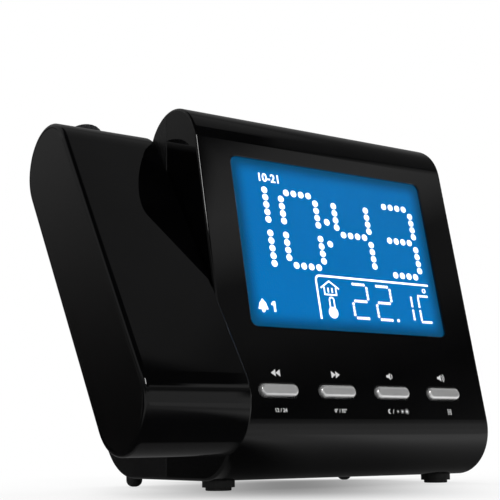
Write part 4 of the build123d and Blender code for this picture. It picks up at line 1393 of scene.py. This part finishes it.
@dataclass
class Studio:
    """The floor, the light and the camera.

    Attributes:
        reach: Half the floor's width.
        floor_tone: The matt floor's colour.
        shadow_share: How much of the cast shadow shows near the object.
        even_level: Brightness of the even light.
        camera_place: Where the camera stands.
        yaw: How far it looks right of straight ahead, in radians.
        pitch: How far it looks up.
        roll: How far it tips to its left.
        focal: Its focal length, in millimetres.
        sensor: Its sensor's width, in millimetres.
        lamps: The soft boxes.
    """

    reach: float = 6.0
    floor_tone: float = 0.93
    shadow_share: float = 0.2
    even_level: float = 0.52
    camera_place: Triple = (-0.23949, -0.34139, 0.0148)
    yaw: float = radians(34.557)
    pitch: float = radians(9.812)
    roll: float = radians(-0.638)
    focal: float = 81.29
    sensor: float = 36.0
    lamps: tuple[SoftBox, ...] = (
        SoftBox("top_box", (0.15, 0.45, 1.15), (0.0, 0.0, 0.05), (1.0, 0.8), 3.2, False),
        SoftBox("edge_box", (-0.618, -0.91, 0.871), (-0.04, -0.02, 0.12), (0.30, 0.25), 16.0, True),
    )

    def floor(self) -> None:
        """Lays a pale floor with part of the object's cast shadow and a painted pool of shade under it."""
        plane = bmesh.new()
        bmesh.ops.create_grid(plane, x_segments=2, y_segments=2, size=self.reach)
        made = finished(plane, "studio_floor")
        made.data.materials.append(self.floor_material())

    def painted_floor_reflection(self, tree: Tree) -> Socket:
        """How bright glossy surfaces see the floor.

        Its levels are painted: close in front of the arm it is dark with painted shade, and
        further ahead and to the right it is brighter.

        Args:
            tree: The floor's tree.

        Returns:
            The level's socket.
        """
        axes = tree.axes(tree.spot())
        x, y = axes["x"], axes["y"]
        # painted shade: the reflected floor is dark close in front of the object
        ahead = tree.remap(y, -0.026, -0.078, 0.05, 0.55)
        fading = tree.remap(y, -0.10, -0.17, 1.0, 0.62)
        far_right = tree.remap(x, 0.02, 0.08, 1.0, 1.6)
        right = tree.product(ahead, fading, far_right)
        left = tree.remap(y, -0.070, -0.190, 0.03, 0.30)
        share = tree.remap(x, -0.022, 0.006)
        front = tree.math("MULTIPLY_ADD", tree.math("SUBTRACT", right, left), share, left)
        return tree.brightest(front, *(tree.product(patch.cover(tree, axes), patch.level) for patch in FLOOR))

    def painted_pool_shade(self, tree: Tree) -> Socket:
        """How bright the floor is, before the object's own cast shadow.

        Painted shade darkens the floor in a soft pool under the object, laid along the camera's
        way, that reaches a little way out in front and behind.

        Args:
            tree: The floor's tree.

        Returns:
            The level's socket.
        """
        # painted shade: a soft pool under the object, laid along the camera's way
        axes = tree.axes(tree.mapped(turn=(0.0, 0.0, self.yaw)))
        axes["aside"] = tree.math("ABSOLUTE", tree.math("SUBTRACT", axes["x"], PAINTED_POOL_MIDDLE))
        return tree.math("SUBTRACT", 1.0, tree.product(PAINTED_POOL.cover(tree, axes), PAINTED_POOL.level))

    def seen_directly(self, tree: Tree) -> tuple[Socket, Socket]:
        """Whether a light ray shows the background, and whether it is a reflection."""
        rays = tree.node("LightPath").outputs
        return tree.brightest(rays["Is Camera Ray"], rays["Is Transmission Ray"]), rays["Is Glossy Ray"]

    def floor_material(self) -> bpy.types.Material:
        """The floor's pale matt surface.

        Returns:
            The material: matt with part of the object's cast shadow and a painted pool of shade near it,
            plain white further out, a graded tone with painted shade near the object in reflections,
            and clear from below.
        """
        material = bpy.data.materials.new("studio_floor")
        material.use_nodes = True
        tree = Tree(material.node_tree)
        tree.tree.nodes.remove(tree.tree.nodes["Principled BSDF"])
        matt = tree.node("BsdfDiffuse", Color=grey(self.floor_tone))
        # the floor's plain white, darkened by the painted pool of shade
        white = tree.node("Emission", Strength=self.painted_pool_shade(tree))
        # the floor in reflections: painted levels, with painted shade close to the object
        mirrored = tree.node("Emission", Strength=self.painted_floor_reflection(tree))
        distance = tree.node("VectorMath", tree.spot(), operation="LENGTH").outputs["Value"]
        even = tree.remap(distance, 0.12, 0.30, 1.0 - self.shadow_share, 1.0)
        direct, reflected = self.seen_directly(tree)
        lit = tree.mix_shaders(tree.product(direct, even), matt, white)
        above = tree.mix_shaders(reflected, lit, mirrored)
        underside = tree.node("NewGeometry").outputs["Backfacing"]
        seen = tree.mix_shaders(underside, above, tree.node("BsdfTransparent"))
        tree.wire(tree.tree.nodes["Material Output"], Surface=seen.outputs[0])
        return material

    def mirrored_room(self, tree: Tree) -> Socket:
        """The room that glossy surfaces see.

        Args:
            tree: The world's tree.

        Returns:
            The colour's socket: graded by elevation in front, with patches over that, and
            softly rising at the back on the left.
        """
        axes = tree.axes(tree.node("TexCoord").outputs["Generated"])
        room = tree.node("ValToRGB", tree.math("MULTIPLY_ADD", axes["z"], 0.5, 0.5))
        ramp = room.color_ramp.elements
        while len(ramp) < len(FRONT_LEVELS):
            ramp.new(1.0)
        for stop, (rise, level) in zip(ramp, FRONT_LEVELS):
            stop.position = (sin(radians(rise)) + 1) / 2
            stop.color = (*grey(level), 1.0)
        ahead = (tree.product(axes["x"], sin(self.yaw)), tree.product(axes["y"], cos(self.yaw)))
        axes["facing"] = tree.math("ADD", *ahead)
        colour = room.outputs[0]
        for patch in ROOM:
            colour = tree.blend(patch.cover(tree, axes), colour, grey(patch.level))
        return tree.blend(BACK_LEFT.cover(tree, axes), colour, tree.remap(axes["z"], 0.0, 0.45, 0.008, 0.28))

    def surroundings(self) -> None:
        """The studio around the object: even light, and a soft graded room in reflections."""
        world = bpy.data.worlds.new("studio_room")
        bpy.context.scene.world = world
        world.use_nodes = True
        tree = Tree(world.node_tree)
        even = tree.node("Background", Color=grey(1.0), Strength=self.even_level)
        plain = tree.node("Background", Color=grey(1.0))
        room = tree.node("Background", Color=self.mirrored_room(tree))
        direct, reflected = self.seen_directly(tree)
        seen = tree.mix_shaders(direct, tree.mix_shaders(reflected, even, room), plain)
        tree.wire(tree.tree.nodes["World Output"], Surface=seen.outputs[0])

    def camera(self) -> None:
        """Stands the camera low in front of the arm's side."""
        data = bpy.data.cameras.new("view")
        data.lens = self.focal
        data.sensor_width = self.sensor
        data.sensor_fit = "HORIZONTAL"
        data.clip_start = 0.01
        data.clip_end = 50.0
        forward = Vector((sin(self.yaw) * cos(self.pitch), cos(self.yaw) * cos(self.pitch), sin(self.pitch)))
        level = Vector((cos(self.yaw), -sin(self.yaw), 0))
        upright = level.cross(forward)
        right = level * cos(self.roll) + upright * sin(self.roll)
        up = upright * cos(self.roll) - level * sin(self.roll)
        made = bpy.data.objects.new("view", data)
        made.matrix_world = plane_at(Vector(self.camera_place), right, up, -forward)
        bpy.context.scene.collection.objects.link(made)
        bpy.context.scene.camera = made

    def build(self) -> None:
        """Sets up the whole studio."""
        self.floor()
        self.surroundings()
        for lamp in self.lamps:
            lamp.build()
        self.camera()
        bpy.context.scene.view_settings.view_transform = "Standard"


# --- the clock's finishes, and its build ---


def finishes(layout: Layout) -> dict[str, Finish]:
    """The finish of each material slot, and the rear shell's own.

    Args:
        layout: The clock's planes.

    Returns:
        Finishes by slot name.
    """
    return {
        "black_gloss": Moulding(
            "piano_black", grey(0.0006, 0.0001), grey(0.0010, 0.0002), (0.03, 0.08),
            grain=900.0, depth=0.0000015, ior=1.46, smear=0.6, dust=0.25,
        ),
        "rear_satin": Moulding(
            "rear_satin", grey(0.0065, 0.0003), grey(0.0085, 0.0003), (0.26, 0.36),
            grain=6000.0, depth=0.000008, ior=1.46,
        ),
        "cap_satin": Moulding(
            "satin_black", (0.0012, 0.0011, 0.0011), (0.0018, 0.0016, 0.0016), (0.16, 0.22),
            grain=9000.0, depth=0.000003, ior=1.46, smear=0.4, dust=0.25,
        ),
        "top_key_black": Moulding(
            "key_black", grey(0.012, 0.001), grey(0.016, 0.001), (0.28, 0.42), grain=8000.0,
        ),
        "key_chrome": Metal(
            "satin_chrome", grey(0.95, -0.01), grey(0.90), (0.19, 0.33),
            lines=520.0, depth=0.00012, metallic=0.72, smear=0.2,
        ),
        "pane_clear": Clear("clear_pane", (0.98, 0.99, 1.0), (0.95, 0.97, 1.0), (0.0, 0.02), ior=1.12),
        "lcd_blue": LitPanel("display_blue", (0.0, 0.168, 0.490), (0.0, 0.062, 0.160), (0.10, 0.2), layout),
        "mark_white": Lit("lit_mark", (0.92, 0.95, 1.0), (0.86, 0.91, 1.0), (0.3, 0.4), strength=1.15),
        "print_grey": Moulding("key_ink", grey(0.80), grey(0.86), (0.4, 0.55)),
        "backlight_white": Moulding("opal_plate", (0.80, 0.83, 0.86), (0.74, 0.78, 0.82), (0.35, 0.5)),
        "inner_plastic": Moulding(
            "inner_black", grey(0.022, 0.002), grey(0.030, 0.002), (0.35, 0.5), depth=0.00002,
        ),
        "board_green": CircuitBoard(
            "board_green", (0.012, 0.095, 0.040), (0.010, 0.080, 0.034), (0.22, 0.35),
        ),
        "chip_black": Moulding(
            "chip_resin", grey(0.014, 0.001), grey(0.022, 0.001), (0.45, 0.6), depth=0.00002,
        ),
        "switch_black": Moulding("switch_body", grey(0.02, 0.002), grey(0.028, 0.002), (0.4, 0.55)),
        "speaker_steel": Metal("painted_steel", grey(0.05, 0.005), grey(0.065, 0.005), (0.4, 0.55)),
        "cone_paper": PaperCone("cone_paper", grey(0.018), grey(0.040, -0.001), (0.75, 0.9)),
        "magnet_grey": Metal("ferrite", grey(0.12, 0.005), grey(0.16, 0.005), (0.5, 0.65), depth=0.00002),
        "rubber_black": Moulding(
            "foot_rubber", grey(0.014), grey(0.022), (0.55, 0.75), grain=2600.0, depth=0.00004,
        ),
        "screw_steel": Metal("zinc_plate", (0.50, 0.51, 0.53), grey(0.42, 0.01), (0.2, 0.35), lines=6000.0),
        "bush_white": Moulding("acetal", grey(0.72, -0.04), grey(0.68, -0.04), (0.35, 0.45)),
        "contact_nickel": Metal("nickel", (0.60, 0.56, 0.48), (0.52, 0.49, 0.43), (0.15, 0.3), lines=8000.0),
        "cell_steel": Metal("cell_steel", grey(0.60, 0.01), grey(0.50, 0.01), (0.2, 0.32), lines=9000.0),
        "lens_glass": Clear("lens_glass", (0.96, 0.97, 1.0), (0.90, 0.93, 1.0), (0.0, 0.01), ior=1.52),
        "slide_dark": Clear("dark_glass", (0.10, 0.03, 0.03), (0.14, 0.04, 0.04), (0.05, 0.1)),
        "lamp_red": Clear("red_lens", (0.75, 0.04, 0.03), (0.65, 0.03, 0.02), (0.05, 0.12), ior=1.54),
        "sink_aluminium": Metal(
            "bare_aluminium", (0.60, 0.61, 0.62), (0.52, 0.53, 0.54), (0.25, 0.4), lines=5000.0,
        ),
    }


@dataclass
class Clock:
    """The dressed clock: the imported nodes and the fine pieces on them.

    Attributes:
        own_finish: Nodes whose finish is not the plain one of their slot.
        layout: The clock's planes.
        materials: The finished materials by name.
    """

    frame: dict
    own_finish: dict[str, str] = field(default_factory=lambda: {"rear_shell": "rear_satin"})
    layout: Layout = field(default_factory=Layout.measured)
    materials: dict[str, bpy.types.Material] = field(init=False)

    def __post_init__(self) -> None:
        """Builds every material."""
        effects = Effects()
        self.materials = {name: finish.build(effects) for name, finish in finishes(self.layout).items()}

    def dress_nodes(self) -> None:
        """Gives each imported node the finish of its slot, or the one of its own."""
        for part in self.frame["record"]["subparts"]:
            finish = self.own_finish.get(part["node"], part["material_slot"])
            for holder in self.frame["nodes"][part["node"]].material_slots:
                holder.material = self.materials[finish]
            LOG.info("%s: %s", part["node"], finish)

    def add(self, piece: Object, material: str, slot: str, body: str = "clock_body") -> None:
        """Finishes a new piece and hangs it on its body.

        Args:
            piece: The new object.
            material: Key of its material.
            slot: The record's material slot; not used.
            body: The body that it moves with.
        """
        piece.data.materials.append(self.materials[material])
        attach(piece, body)
        LOG.info("%s: %s on %s", piece.name, material, body)


def main() -> None:
    """Builds the clock's looks and its studio."""
    logging.basicConfig(level=logging.INFO, format="%(message)s")
    for thing in list(bpy.data.objects):
        bpy.data.objects.remove(thing)
    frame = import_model()
    clock = Clock(frame)
    clock.dress_nodes()
    display = Display(clock.layout)
    pane = display.clear_pane()
    clock.add(pane, "pane_clear", "pane_clear")
    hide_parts("lcd_window")
    for marks in (display.time_marks(), display.temperature_marks(), display.symbol_marks()):
        clock.add(marks, "mark_white", "lcd_blue")
    clock.add(FacePrints(clock.layout).piece(), "print_grey", "black_gloss")
    clock.add(Seam().piece(), "inner_plastic", "inner_plastic")
    for key, marks in CrownPrints().pieces().items():
        clock.add(marks, "print_grey", "top_key_black", key)
    Studio().build()
    bpy.context.view_layer.update()


if __name__ == "__main__":
    main()
